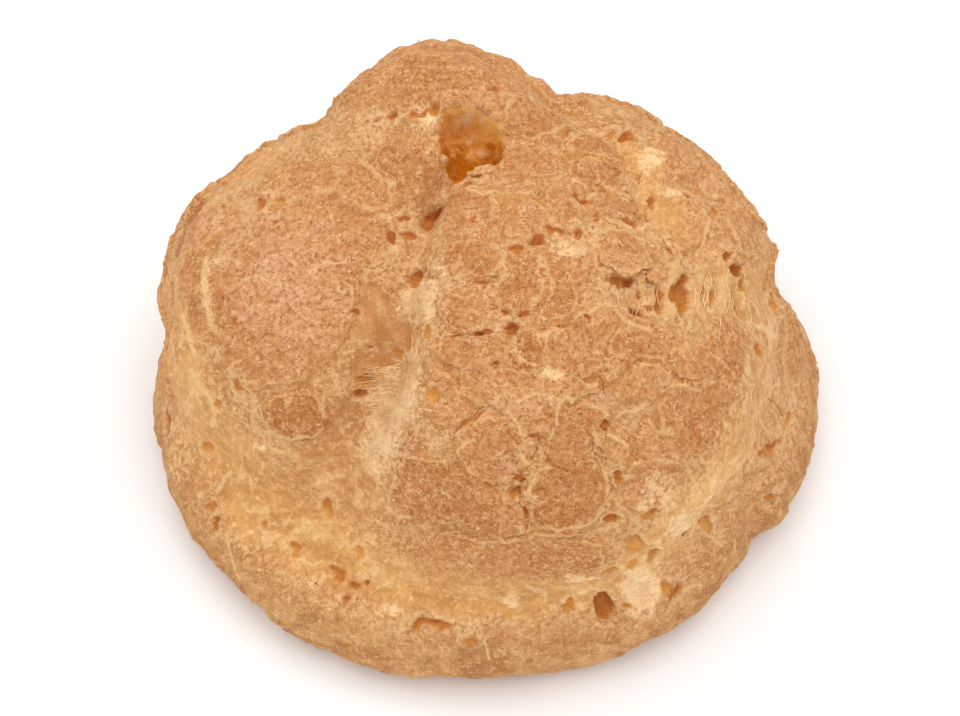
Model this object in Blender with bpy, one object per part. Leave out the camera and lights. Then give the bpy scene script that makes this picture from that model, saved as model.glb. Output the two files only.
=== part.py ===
"""Cream puff: one baked choux bun, modelled as a single closed solid.

The bun is a smooth union of round lobes that stands on a flat base: a spreading foot with a rim,
a low skirt, a cracked dome, a large left lobe, a top lobe and a back right lobe. Every point of
the crust is found along a straight ray from a core point inside the dough. The crevice, the torn
hole, the stretched gap on the right and the groove above the rim are then sunk into that surface.
Lengths are in millimetres until the mesh is made, and in metres after that.
"""
import bpy
import numpy as np

MM = 0.001

# Whole bun: the foot is a flat disc with a round edge, and the lobes rise out of it
RIM_RADIUS = 40.0
RIM_EDGE_RADIUS = 5.4
RIM_HEIGHT = 5.0
CORE = np.array([0.0, 0.0, 15.0])
LOBE_BLEND = 2.4
BASE_EDGE = 1.2
BASE_COLOUR = (0.665, 0.305, 0.12, 1.0)
CRUST_ROUGHNESS = 0.62

# Lobes: centre and half axes
LOBES = {
    "skirt": ((0.0, -1.0, 8.0), (36.8, 35.8, 13.0)),
    "dome": ((7.0, -5.0, 12.0), (28.3, 29.0, 35.5)),
    "left": ((-19.0, -1.5, 22.0), (19.3, 18.5, 19.3)),
    "left_back": ((-17.5, 7.5, 19.0), (19.2, 16.4, 17.6)),
    "saddle": ((-13.0, 10.6, 26.3), (13.3, 12.0, 15.3)),
    "top": ((-4.5, 15.3, 31.2), (15.0, 14.0, 17.1)),
    "back_right": ((12.0, 9.0, 20.8), (17.2, 17.8, 21.4)),
    "right_shoulder": ((20.0, 3.0, 18.0), (14.9, 15.8, 19.6)),
}

# The rim isn't a true circle: azimuth in degrees and how far the foot reaches past the circle.
# Between -31 and -26 degrees is the torn step at the front right.
RIM_OUTLINE = (
    (-180, -0.8), (-160, 0.2), (-140, -0.1), (-115, -1.0), (-92, -1.8), (-75, -1.8), (-60, -1.8),
    (-36, -1.7), (-31, -1.7), (-26, -0.3), (-8, -0.1), (2, 0.0), (20, -1.8), (60, -1.8),
    (110, -1.5), (150, -1.2), (180, -0.8),
)
RIM_FULL_BELOW = 12.0
RIM_GONE_ABOVE = 20.0

# Slow swells of the crust: direction, wave length, height, phase in radians
SWELLS = (
    ((0.8, 0.5, 0.3), 17.0, 0.16, 0.4),
    ((-0.5, 0.8, 0.4), 21.0, 0.20, 1.9),
    ((0.2, -0.4, 0.9), 14.0, 0.14, 3.1),
    ((0.9, -0.4, -0.2), 11.5, 0.12, 5.0),
    ((-0.3, -0.9, 0.5), 9.5, 0.10, 2.3),
)

# Marks in the crust are placed on the face, a plane that leans back from upright so that it
# meets the front and the top of the bun alike: millimetres across it and up it.
FACE_LEAN = np.radians(62.0)
FACE = np.array([0.0, -np.cos(FACE_LEAN), np.sin(FACE_LEAN)])

# Grooves: across, up, depth, half width at each point that the groove runs through
CREVICE = (
    (-3.5, 27.0, 2.0, 1.6), (-6.3, 23.3, 2.6, 1.3), (-8.0, 17.7, 1.6, 1.5), (-9.5, 11.5, 2.4, 1.9),
    (-11.2, 6.0, 3.2, 2.4), (-12.8, 1.5, 3.0, 2.5), (-15.3, -4.0, 2.0, 3.0), (-17.5, -9.0, 0.8, 3.5),
)
UPPER_CLEFT = ((8.0, 36.5, 0.6, 1.6), (14.5, 31.5, 1.4, 1.3), (18.0, 26.0, 0.9, 1.2), (17.5, 20.0, 0.6, 1.0))
STRETCHED_GAP = (
    (14.5, 13.0, 0.4, 2.0), (18.5, 12.5, 1.2, 3.0), (24.0, 13.0, 1.4, 3.2), (29.0, 13.0, 1.2, 3.0),
    (32.0, 10.0, 0.5, 2.5),
)
RIM_GROOVE = (
    (-36.0, 4.0, 0.4, 2.6), (-33.5, -6.0, 0.9, 3.0), (-26.0, -15.5, 1.1, 3.2), (-14.0, -21.3, 1.2, 3.0),
    (0.0, -23.3, 1.0, 2.4), (13.0, -22.0, 1.3, 2.4), (24.0, -16.0, 1.4, 2.6), (32.5, -6.0, 1.2, 2.6),
    (35.5, 3.0, 0.9, 2.4), (35.0, 9.0, 0.4, 2.0),
)
GROOVE_STEPS = 90

# Pits: across, up, half width, half height, depth, softness of the edge
TORN_HOLE = (-1.3, 30.7, 3.5, 4.4, 6.5, 0.45)
GAP_HOLLOWS = (
    (23.0, 12.8, 1.7, 3.0, 2.4, 0.6),
    (18.5, 11.0, 2.6, 1.9, 1.8, 0.6),
    (28.6, 15.0, 1.6, 2.6, 2.2, 0.6),
)
PIT_SQUARENESS = 2.6

# Grid of rays: lines each way, the share of it above the turn of the foot, the angle of that turn
# from straight up, the angle where the grid ends in a round cap under the base, how far out its
# squares turn into rings, the turn of the whole grid that lays its lines along the crevice, and
# where the rays are drawn closer together (direction, share, width)
GRID_LINES = 70
TOP_SHARE = 0.87
TURN_ANGLE = np.radians(112.0)
CAP_ANGLE = np.radians(135.0)
RINGS_FROM = 0.3
RINGS_FULL = 0.7
GRID_TURN = np.radians(-38.0)
CLOSER_RAYS = (
    ((-0.04, 0.30, 0.95), 0.55, 0.32),
    ((-0.40, -0.50, 0.76), 0.35, 0.35),
    ((0.66, -0.15, 0.72), 0.45, 0.30),
)
SEARCH_FROM = 4.0
SEARCH_TO = 90.0
SEARCH_HALVINGS = 26
SLOPE_STEP = 0.05

# Marks begin this far ahead of the origin, along the direction in which the face looks.
MARKS_BEHIND = 0.0
MARKS_AHEAD = 6.0

# The base is flat: what lies lower than FLAT_BELOW is brought down to the table, and the swells
# and marks only begin above MARKS_FROM and are full above MARKS_FULL.
FLAT_BELOW = 0.3
MARKS_FROM = 0.5
MARKS_FULL = 4.0


def fade(low, high, value):
    """Smooth step: 0 at low, 1 at high."""
    share = np.clip((value - low) / (high - low), 0.0, 1.0)
    return share * share * (3.0 - 2.0 * share)


def lobe_distance(points, centre, half_axes):
    """Distance to an ellipsoid, nearly: k0 (k0 - 1) / k1, with k0 = |p/r| and k1 = |p/r^2|."""
    offset = points - np.array(centre)
    axes = np.array(half_axes)
    scaled = np.linalg.norm(offset / axes, axis=-1)
    twice = np.linalg.norm(offset / axes ** 2, axis=-1)
    return scaled * (scaled - 1.0) / np.maximum(twice, 1e-6)


def foot_distance(points):
    """Distance to the foot, a disc of the rim's height whose edge is rounded."""
    past_edge = np.hypot(points[..., 0], points[..., 1]) - (RIM_RADIUS - RIM_EDGE_RADIUS)
    return np.hypot(np.maximum(past_edge, 0.0), points[..., 2] - RIM_HEIGHT) - RIM_EDGE_RADIUS


def dough(points):
    """Below zero inside the bun: foot and lobes in a soft minimum, cut flat at height zero."""
    azimuth = np.degrees(np.arctan2(points[..., 1], points[..., 0]))
    angles, reaches = np.transpose(RIM_OUTLINE)
    low_down = fade(RIM_GONE_ABOVE, RIM_FULL_BELOW, points[..., 2])
    stretch = 1.0 + low_down * np.interp(azimuth, angles, reaches) / RIM_RADIUS
    level = np.ones_like(stretch)
    rounded = points / np.stack([stretch, stretch, level], axis=-1)
    total = np.exp(-foot_distance(rounded) / LOBE_BLEND)
    for centre, half_axes in LOBES.values():
        total = total + np.exp(-lobe_distance(rounded, centre, half_axes) / LOBE_BLEND)
    lobes = -LOBE_BLEND * np.log(total)
    return BASE_EDGE * np.logaddexp(lobes / BASE_EDGE, -points[..., 2] / BASE_EDGE)


def reach(rays):
    """Distance from the core to the crust along each ray, by halving the interval."""
    near = np.full(rays.shape[:-1], SEARCH_FROM)
    far = np.full(rays.shape[:-1], SEARCH_TO)
    for _ in range(SEARCH_HALVINGS):
        middle = (near + far) / 2.0
        inside = dough(CORE + rays * middle[..., None]) < 0.0
        near = np.where(inside, middle, near)
        far = np.where(inside, far, middle)
    return (near + far) / 2.0


def outward(points):
    """Unit direction out of the crust: the slope of the dough's distance along each axis."""
    slope = np.empty_like(points)
    for axis in range(3):
        step = np.zeros(3)
        step[axis] = SLOPE_STEP
        slope[..., axis] = dough(points + step) - dough(points - step)
    return slope / np.linalg.norm(slope, axis=-1, keepdims=True)


def swell(points):
    """Height of the slow swells: a sum of plane waves."""
    total = np.zeros(points.shape[:-1])
    for direction, length, height, phase in SWELLS:
        along = np.array(direction) / np.linalg.norm(direction)
        total += height * np.sin(2.0 * np.pi * (points @ along) / length + phase)
    return total


def on_face(points):
    """Across and up coordinates on the leaning face."""
    up = points[..., 1] * np.sin(FACE_LEAN) + points[..., 2] * np.cos(FACE_LEAN)
    return np.stack([points[..., 0], up], axis=-1)


def smooth_run(stations):
    """A Catmull-Rom curve through the stations, read at even steps."""
    given = np.array(stations)
    padded = np.vstack([2 * given[0] - given[1], given, 2 * given[-1] - given[-2]])
    place = np.linspace(0.0, len(given) - 1.0, GROOVE_STEPS)
    start = np.minimum(place.astype(int), len(given) - 2)
    t = (place - start)[:, None]
    a, b, c, d = padded[start], padded[start + 1], padded[start + 2], padded[start + 3]
    bend = (2 * a - 5 * b + 4 * c - d) * t ** 2
    twist = (3 * b - a - 3 * c + d) * t ** 3
    return 0.5 * (2 * b + (c - a) * t + bend + twist)


def groove(face_points, stations):
    """Depth of a groove: the deepest of round hollows strung along its smooth run."""
    deepest = np.zeros(face_points.shape[:-1])
    for across, up, depth, half_width in smooth_run(stations):
        square = (face_points[..., 0] - across) ** 2 + (face_points[..., 1] - up) ** 2
        deepest = np.maximum(deepest, depth * np.exp(-square / half_width ** 2))
    return deepest


def pit(face_points, across, up, half_across, half_up, depth, softness):
    """Depth of a flat-bottomed pit with a rounded square outline."""
    scaled = np.abs((face_points - (across, up)) / (half_across, half_up)) ** PIT_SQUARENESS
    radius = scaled.sum(axis=-1) ** (1.0 / PIT_SQUARENESS)
    return depth * fade(1.0 + softness, 1.0 - softness, radius)


def hollows(points, normals):
    """Depth of everything that is sunk into the crust, only where it looks towards the face."""
    face_points = on_face(points)
    deepest = np.zeros(points.shape[:-1])
    for stations in (CREVICE, UPPER_CLEFT, STRETCHED_GAP, RIM_GROOVE):
        deepest = np.maximum(deepest, groove(face_points, stations))
    for shape in (TORN_HOLE, *GAP_HOLLOWS):
        deepest = np.maximum(deepest, pit(face_points, *shape))
    return deepest * fade(0.0, 0.3, normals @ FACE) * fade(MARKS_BEHIND, MARKS_AHEAD, points @ FACE)


def ray_grid(lines):
    """Rays from a square grid wrapped round a ball: its centre is straight up, its edge the cap.

    The square is first laid on a disc, as plain squares in the middle and as rings further out.
    """
    side = np.linspace(-1.0, 1.0, lines)
    x, y = np.meshgrid(side, side)
    square_ring = np.maximum(np.abs(x), np.abs(y))
    wide = np.abs(x) > np.abs(y)
    side_turn = np.where(x > 0.0, 0.0, np.pi) + np.pi / 4.0 * y / np.where(wide, x, 1.0)
    front_turn = np.where(y > 0.0, 0.5, -0.5) * np.pi - np.pi / 4.0 * x / np.where(wide | (y == 0.0), 1.0, y)
    ring_turn = np.where(wide, side_turn, front_turn)
    ringed = fade(RINGS_FROM, RINGS_FULL, square_ring)
    flat_x = (1.0 - ringed) * x * np.sqrt(1.0 - y ** 2 / 2.0) + ringed * square_ring * np.cos(ring_turn)
    flat_y = (1.0 - ringed) * y * np.sqrt(1.0 - x ** 2 / 2.0) + ringed * square_ring * np.sin(ring_turn)
    ring = np.hypot(flat_x, flat_y)
    turn = np.arctan2(flat_y, flat_x) + GRID_TURN
    above = ring / TOP_SHARE * TURN_ANGLE
    below = TURN_ANGLE + (ring - TOP_SHARE) / (1.0 - TOP_SHARE) * (CAP_ANGLE - TURN_ANGLE)
    lean = np.where(ring < TOP_SHARE, above, below)
    rays = np.stack([np.sin(lean) * np.cos(turn), np.sin(lean) * np.sin(turn), np.cos(lean)], axis=-1)
    for direction, share, width in CLOSER_RAYS:
        gap = np.array(direction) / np.linalg.norm(direction) - rays
        rays = rays + share * gap * np.exp(-(gap ** 2).sum(axis=-1) / width ** 2)[..., None]
        rays = rays / np.linalg.norm(rays, axis=-1, keepdims=True)
    return rays


def crust_points(lines):
    """Points of the finished crust: the dough's edge, moved out by the swells less the hollows."""
    rays = ray_grid(lines)
    points = CORE + rays * reach(rays)[..., None]
    normals = outward(points)
    clear = fade(MARKS_FROM, MARKS_FULL, points[..., 2])
    points = points + normals * (clear * (swell(points) - hollows(points, normals)))[..., None]
    points[..., 2] = np.where(points[..., 2] < FLAT_BELOW, 0.0, points[..., 2])
    return points


def grid_faces(lines):
    """Four-sided faces of the grid, wound to face out of the bun, and its outer loop in order."""
    index = np.arange(lines * lines).reshape(lines, lines)
    faces = np.stack([index[:-1, :-1], index[:-1, 1:], index[1:, 1:], index[1:, :-1]], axis=-1)
    loop = np.concatenate([index[0, :-1], index[:-1, -1], index[-1, :0:-1], index[:0:-1, 0]])
    return faces.reshape(-1, 4), loop


def add_puff():
    """The bun's mesh: the grid of crust points, closed under the base by a fan to its middle."""
    points = crust_points(GRID_LINES).reshape(-1, 3)
    faces, loop = grid_faces(GRID_LINES)
    middle = points[loop].mean(axis=0)
    hub = len(points)
    fan = [(int(b), int(a), hub) for a, b in zip(loop, np.roll(loop, -1))]
    mesh = bpy.data.meshes.new("choux_puff")
    vertices = np.vstack([points, middle]) * MM
    mesh.from_pydata(vertices.tolist(), [], faces.tolist() + fan)
    mesh.validate()
    mesh.shade_smooth()
    puff = bpy.data.objects.new("choux_puff", mesh)
    bpy.context.scene.collection.objects.link(puff)
    return puff


def baked_crust():
    """Golden brown baked choux."""
    material = bpy.data.materials.new("baked_crust")
    material.use_nodes = True
    shader = material.node_tree.nodes["Principled BSDF"]
    shader.inputs["Base Color"].default_value = BASE_COLOUR
    shader.inputs["Roughness"].default_value = CRUST_ROUGHNESS
    shader.inputs["Metallic"].default_value = 0.0
    return material


for old in list(bpy.data.objects):
    bpy.data.objects.remove(old, do_unlink=True)

bun = add_puff()
bun.data.materials.append(baked_crust())
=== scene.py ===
"""Cream puff: the looks of one baked choux bun, laid out as a Blender add-on.

The bun's form is worked out here as in the solid: foot and lobes in a soft union, found along rays
from a core point, with swells, grooves and pits. On top of that come the crust's cracked plates,
waxy blisters, torn hole, stretched fibres and grain. Lengths are in millimetres until a mesh is
made. Places on the front of the bun are given on the face, a plane that leans back from upright:
millimetres across it (to the right) and up it.
"""

import bpy
import numpy as np
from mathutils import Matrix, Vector


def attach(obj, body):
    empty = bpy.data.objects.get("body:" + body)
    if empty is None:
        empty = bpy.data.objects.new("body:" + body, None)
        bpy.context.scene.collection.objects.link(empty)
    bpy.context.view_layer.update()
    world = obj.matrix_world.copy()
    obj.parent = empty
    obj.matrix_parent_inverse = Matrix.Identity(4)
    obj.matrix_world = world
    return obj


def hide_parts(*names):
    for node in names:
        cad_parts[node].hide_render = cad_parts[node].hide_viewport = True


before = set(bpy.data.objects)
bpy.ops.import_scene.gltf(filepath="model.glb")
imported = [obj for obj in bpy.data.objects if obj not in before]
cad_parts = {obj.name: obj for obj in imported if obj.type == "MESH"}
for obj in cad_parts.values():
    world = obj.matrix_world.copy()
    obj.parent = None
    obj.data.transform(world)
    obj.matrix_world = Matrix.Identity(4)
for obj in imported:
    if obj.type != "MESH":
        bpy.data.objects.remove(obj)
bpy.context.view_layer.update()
NODE = "choux_puff"
BODY = "root"

bl_info = {
    "name": "Cream puff",
    "version": (1, 0, 0),
    "blender": (4, 5, 0),
    "location": "View3D > Sidebar > Cream puff",
    "description": "Builds a baked choux bun with its cracked crust, torn hole and stretched dough",
    "category": "Mesh",
}

MM = 0.001

# ----------------------------------------------------------
# The form, with the same named sizes as the solid
# ----------------------------------------------------------

RIM_RADIUS = 40.0
RIM_EDGE_RADIUS = 5.4
RIM_HEIGHT = 5.0
CORE = np.array([0.0, 0.0, 15.0])
LOBE_BLEND = 2.4
BASE_EDGE = 1.2

LOBES = {
    "skirt": ((0.0, -1.0, 8.0), (36.8, 35.8, 13.0)),
    "dome": ((7.0, -5.0, 12.0), (28.3, 29.0, 35.5)),
    "left": ((-19.0, -1.5, 22.0), (19.3, 18.5, 19.3)),
    "left_back": ((-17.5, 7.5, 19.0), (19.2, 16.4, 17.6)),
    "saddle": ((-13.0, 10.6, 26.3), (13.3, 12.0, 15.3)),
    "top": ((-4.5, 15.3, 31.2), (15.0, 14.0, 17.1)),
    "back_right": ((12.0, 9.0, 20.8), (17.2, 17.8, 21.4)),
    "right_shoulder": ((20.0, 3.0, 18.0), (14.9, 15.8, 19.6)),
}

# Azimuth in degrees, and how far the rim reaches past its circle there
RIM_OUTLINE = (
    (-180, -0.8), (-160, 0.2), (-140, -0.1), (-115, -1.0), (-92, -1.8), (-75, -1.8), (-60, -1.8),
    (-36, -1.7), (-31, -1.7), (-26, -0.3), (-8, -0.1), (2, 0.0), (20, -1.8), (60, -1.8),
    (110, -1.5), (150, -1.2), (180, -0.8),
)
RIM_FULL_BELOW = 12.0
RIM_GONE_ABOVE = 20.0

# Slow swells: direction, wave length, height, phase
SWELLS = (
    ((0.8, 0.5, 0.3), 17.0, 0.16, 0.4),
    ((-0.5, 0.8, 0.4), 21.0, 0.20, 1.9),
    ((0.2, -0.4, 0.9), 14.0, 0.14, 3.1),
    ((0.9, -0.4, -0.2), 11.5, 0.12, 5.0),
    ((-0.3, -0.9, 0.5), 9.5, 0.10, 2.3),
)

FACE_LEAN = np.radians(62.0)
FACE = np.array([0.0, -np.cos(FACE_LEAN), np.sin(FACE_LEAN)])
FACE_ACROSS = np.array([1.0, 0.0, 0.0])
FACE_UP = np.array([0.0, np.sin(FACE_LEAN), np.cos(FACE_LEAN)])

# Grooves: across, up, depth, half width
CREVICE = (
    (-3.5, 27.0, 2.0, 1.6), (-6.3, 23.3, 2.6, 1.3), (-8.0, 17.7, 1.6, 1.5), (-9.5, 11.5, 2.4, 1.9),
    (-11.2, 6.0, 3.2, 2.4), (-12.8, 1.5, 3.0, 2.5), (-15.3, -4.0, 2.0, 3.0), (-17.5, -9.0, 0.8, 3.5),
)
UPPER_CLEFT = ((8.0, 36.5, 0.6, 1.6), (14.5, 31.5, 1.4, 1.3), (18.0, 26.0, 0.9, 1.2), (17.5, 20.0, 0.6, 1.0))
STRETCHED_GAP = (
    (14.5, 13.0, 0.4, 2.0), (18.5, 12.5, 1.2, 3.0), (24.0, 13.0, 1.4, 3.2), (29.0, 13.0, 1.2, 3.0),
    (32.0, 10.0, 0.5, 2.5),
)
RIM_GROOVE = (
    (-36.0, 4.0, 0.4, 2.6), (-33.5, -6.0, 0.9, 3.0), (-26.0, -15.5, 1.1, 3.2), (-14.0, -21.3, 1.2, 3.0),
    (0.0, -23.3, 1.0, 2.4), (13.0, -22.0, 1.3, 2.4), (24.0, -16.0, 1.4, 2.6), (32.5, -6.0, 1.2, 2.6),
    (35.5, 3.0, 0.9, 2.4), (35.0, 9.0, 0.4, 2.0),
)
GROOVE_STEPS = 90

# A ray looks for the dough's edge between these distances from the core
EDGE_FROM = 4.0
EDGE_TO = 90.0
EDGE_HALVINGS = 24
SLOPE_STEP = 0.05
# A line that comes down square to the face starts this high, goes down by a share of the distance
# to the dough at each step, and stops at the lowest landing
LANDING_FROM = 62.0
LANDING_STEPS = 60
LANDING_SHARE = 0.85
LOWEST_LANDING = 6.0

# ----------------------------------------------------------
# Marks that only the finish has
# ----------------------------------------------------------

# Torn hole: its middle on the face, and its reach in millimetres by angle in degrees
HOLE_MIDDLE = (-1.4, 30.5)
HOLE_REACH = (
    (-180, 3.7), (-162, 3.8), (-149, 3.1), (-139, 4.5), (-119, 5.0), (-95, 3.3), (-44, 3.8), (-11, 3.7),
    (35, 3.9), (62, 3.5), (92, 3.8), (127, 5.1), (155, 4.1), (180, 3.7),
)
HOLE_DEPTH = 6.4
# How far the hole widens under its lip, and how rugged its walls are
HOLE_WIDENING = 0.6
HOLE_RUGGEDNESS = 0.9

# Dents of the outline as seen square to the face: across, up, half widths, turn in degrees, depth;
# below zero it is a bump
OUTLINE_DENTS = (
    (34.8, 14.8, 2.8, 2.8, 0, 1.9), (21.8, 33.8, 3.6, 2.2, -32, 1.1), (13.2, 38.2, 1.6, 1.4, 0, -0.6),
    (9.2, 37.8, 1.6, 1.6, 0, 0.9), (5.2, 40.0, 2.0, 1.6, 0, 0.5), (0.6, 42.4, 2.6, 1.6, -15, 1.0),
    (-9.0, 43.2, 2.4, 1.6, 15, 0.7), (-13.5, 41.0, 2.6, 1.8, 40, 1.0), (-17.2, 38.2, 2.4, 1.8, 45, 0.9),
    (-20.0, 34.8, 2.2, 2.0, 30, 1.9), (-24.0, 32.8, 2.6, 1.8, 25, 0.5), (-31.2, 28.2, 3.6, 2.0, 38, 1.1),
    (-38.7, 9.2, 1.8, 2.6, 0, 1.1), (-30.3, -20.5, 4.6, 2.4, -48, 0.6), (4.3, -31.8, 3.4, 2.0, 0, 0.6),
    (33.0, -14.7, 1.6, 1.4, 30, 1.6), (36.4, -11.8, 1.8, 1.8, 0, 0.7), (28.8, -21.4, 2.6, 1.8, 50, -0.5),
    (32.8, -16.7, 1.7, 1.5, 30, 1.5), (-3.6, 43.8, 1.6, 1.5, 0, 0.35),
)

# Pits: across, up, half width, half height, turn in degrees, depth, and how light their dough is.
# A pit gets a share of its depth.
PIT_DEPTH_SHARE = 0.75
CREVICE_PITS = (
    (-6.8, 22.7, 1.7, 0.5, 46, 2.0, 0.15), (-9.4, 22.0, 0.7, 0.3, 0, 0.8, 0.1),
    (-10.4, 19.4, 0.6, 0.8, 10, 0.9, 0.1), (-8.9, 20.0, 0.6, 0.3, 0, 0.6, 0.15),
    (-8.5, 15.5, 0.7, 0.9, 0, 1.1, 0.4), (-11.6, 6.4, 0.3, 0.6, 0, 0.6, 0.6),
    (-6.8, 8.8, 0.5, 0.9, 0, 0.5, 0.9), (-13.8, 7.1, 0.3, 0.3, 0, 0.5, 0.05),
    (-14.1, 3.0, 0.45, 0.8, -10, 0.8, 0.35), (-14.6, 1.0, 0.7, 0.6, 0, 0.8, 0.1),
    (-14.9, 11.1, 0.5, 0.4, 0, 0.4, 0.2), (-5.7, 1.8, 0.6, 0.9, 0, 0.2, 0.9),
)
CENTRE_PITS = (
    (3.3, 18.2, 0.9, 0.3, 0, 0.9, 0.2), (5.8, 19.3, 0.9, 0.4, 20, 1.0, 0.2),
    (7.2, 20.2, 0.5, 0.6, 0, 1.0, 0.15), (8.5, 20.1, 0.6, 0.3, -10, 0.7, 0.2),
    (10.6, 20.0, 0.4, 0.6, 0, 0.7, 0.3), (10.3, 24.3, 0.3, 0.7, 0, 0.7, 0.2),
    (11.3, 23.7, 0.7, 0.3, 0, 0.6, 0.15), (-1.3, 21.2, 0.3, 0.7, 0, 0.5, 0.3),
    (-0.3, 14.7, 0.9, 0.2, 0, 0.6, 0.1), (0.1, 13.9, 0.2, 0.5, -30, 0.5, 0.1),
    (0.9, 11.6, 0.3, 0.6, 0, 0.9, 0.05), (2.2, 11.3, 0.4, 0.2, 0, 0.6, 0.1),
    (4.5, 10.7, 0.7, 0.3, 0, 0.7, 0.1), (2.7, 9.3, 0.8, 0.6, 25, 1.5, 0.1),
    (6.7, 9.2, 0.2, 0.4, 0, 0.5, 0.1), (-3.4, 8.5, 0.6, 0.2, 0, 0.6, 0.1),
    (-0.9, 8.5, 0.4, 0.4, 0, 0.9, 0.1), (0.0, 8.9, 0.7, 0.2, 10, 0.5, 0.1),
    (11.2, 10.5, 0.4, 0.4, 0, 0.8, 0.1), (6.3, 15.4, 0.2, 0.6, 0, 0.5, 0.2),
    (1.0, 5.2, 0.4, 0.4, 0, 0.7, 0.05), (-9.2, -5.5, 0.3, 0.3, 0, 0.7, 0.1),
    (13.6, -1.8, 0.4, 0.6, 0, 0.9, 0.1), (5.4, -2.7, 0.3, 0.3, 0, 0.6, 0.1),
    (5.6, -4.8, 0.5, 0.3, 25, 0.7, 0.1), (3.9, -7.6, 0.7, 0.3, 0, 0.8, 0.2),
    (3.3, -9.2, 0.7, 0.4, 0, 0.9, 0.2), (4.6, -11.7, 0.2, 0.9, 0, 0.6, 0.2),
    (-1.5, -1.0, 1.4, 0.2, 35, 0.5, 0.2), (-4.1, -11.2, 0.2, 0.7, 10, 0.4, 0.2),
    (10.8, -13.2, 0.2, 0.3, 0, 0.5, 0.1), (15.3, -7.8, 0.5, 0.7, 0, 1.0, 0.4),
    (14.3, -12.3, 0.6, 0.5, 0, 1.2, 0.4),
)
WAXY_PITS = (
    (17.2, -15.6, 1.1, 1.0, 0, 0.9, 0.85), (19.7, -17.3, 0.9, 1.2, 0, 1.1, 0.65),
    (14.7, -19.0, 1.0, 0.4, 18, 0.9, 0.7), (17.2, -18.4, 0.6, 0.9, -40, 0.5, 0.95),
    (18.9, -11.9, 1.1, 0.5, 45, 0.9, 0.65), (24.2, -15.3, 0.6, 0.6, 0, 1.2, 0.25),
    (24.7, -14.7, 0.3, 0.6, 0, 1.0, 0.3), (26.8, -14.2, 0.9, 0.7, -30, 0.7, 0.75),
    (14.3, -24.0, 0.9, 1.3, 0, 2.2, 0.25), (9.9, -23.8, 0.7, 0.5, 0, 0.7, 0.75),
    (2.7, -24.2, 0.6, 0.3, 0, 0.3, 0.95), (22.2, -22.1, 0.4, 1.2, -28, 0.9, 0.4),
    (21.3, -21.3, 0.6, 0.9, 0, 0.5, 0.8), (16.7, -23.4, 0.6, 0.4, 30, 0.7, 0.45),
    (18.8, -24.0, 0.4, 0.2, 0, 0.5, 0.3), (32.0, 6.9, 0.4, 0.8, 0, 0.5, 0.6),
    (31.7, -1.7, 0.2, 0.9, 0, 0.3, 0.8), (36.6, -1.2, 0.3, 1.1, -15, 0.5, 0.5),
    (34.4, -5.0, 1.5, 0.4, 42, 0.9, 0.35), (31.0, -7.0, 0.8, 0.6, 40, 0.9, 0.6),
    (32.6, -4.8, 0.6, 0.5, 20, 0.4, 0.8), (28.9, -8.2, 0.9, 0.3, 20, 0.3, 0.9),
    (33.9, -10.7, 0.7, 0.4, 45, 0.6, 0.4), (38.4, 8.5, 0.2, 0.6, -10, 0.3, 0.2),
    (34.9, 11.8, 0.3, 0.9, 0, 0.4, 0.8), (-6.3, -25.3, 2.5, 0.4, 0, 1.3, 0.3),
    (-1.6, -27.0, 0.9, 0.5, 0, 0.4, 0.5), (-14.6, -16.8, 0.8, 0.5, -40, 0.4, 0.9),
    (-16.4, -22.4, 0.4, 0.4, 0, 0.5, 0.2), (-20.0, -20.8, 0.4, 0.4, 0, 0.6, 0.15),
    (-22.8, -16.5, 0.6, 1.1, 30, 0.8, 0.6), (-18.6, -11.8, 0.5, 1.1, 8, 0.7, 0.75),
    (-26.6, -13.9, 0.4, 0.6, 0, 0.4, 0.5), (-32.3, -13.8, 0.4, 0.7, 0, 0.7, 0.25),
    (-33.2, -11.7, 0.7, 0.4, 10, 0.4, 0.5), (-38.2, -2.0, 0.3, 1.0, 0, 0.4, 0.4),
    (-33.5, -5.2, 0.5, 0.6, 0, 0.4, 0.6), (-31.0, 0.6, 0.5, 0.5, 0, 0.3, 0.5),
    (-28.5, 2.9, 0.3, 0.9, 10, 0.6, 0.5), (-28.5, 10.1, 0.5, 0.5, 0, 0.5, 0.2),
    (-23.8, 24.1, 0.7, 0.3, 0, 0.6, 0.4), (-25.8, 23.8, 0.5, 0.6, 0, 0.5, 0.25),
    (-24.4, 21.8, 0.3, 0.3, 0, 0.4, 0.2),
)
TOP_PITS = (
    (-1.3, 26.6, 0.5, 0.2, 0, 0.5, 0.3), (-2.3, 25.8, 0.6, 0.3, 0, 0.5, 0.5),
    (-14.0, 33.6, 0.4, 0.3, 0, 0.6, 0.2), (-12.9, 33.7, 0.3, 0.3, 0, 0.6, 0.2),
    (-12.2, 33.8, 0.2, 0.4, 0, 0.5, 0.2), (-10.9, 33.6, 0.6, 0.5, 0, 0.9, 0.35),
    (-9.6, 34.0, 0.3, 0.2, 0, 0.5, 0.3), (-8.1, 33.7, 0.5, 0.35, 10, 0.7, 0.3),
    (-6.8, 33.8, 0.3, 0.7, -40, 0.9, 0.3), (-6.0, 34.6, 0.6, 0.6, 0, 1.0, 0.4),
    (0.5, 36.3, 0.6, 0.3, 0, 0.4, 0.2), (16.8, 31.7, 1.0, 0.7, -35, 1.3, 0.5),
    (15.0, 32.6, 0.5, 0.2, 0, 0.5, 0.4), (17.8, 27.1, 0.3, 0.3, 0, 0.5, 0.3),
    (19.3, 24.3, 0.45, 0.8, 0, 0.9, 0.15), (23.2, 24.7, 0.5, 0.3, 0, 0.5, 0.2),
    (16.2, 25.6, 0.3, 0.2, 0, 0.4, 0.05), (16.4, 21.4, 1.1, 0.3, -5, 0.6, 0.2),
    (12.8, 22.0, 0.3, 0.6, 0, 0.5, 0.2), (26.1, 22.6, 0.5, 0.7, 0, 0.3, 0.5),
    (21.2, 18.6, 0.2, 0.7, 35, 0.7, 0.1),
)
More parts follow.
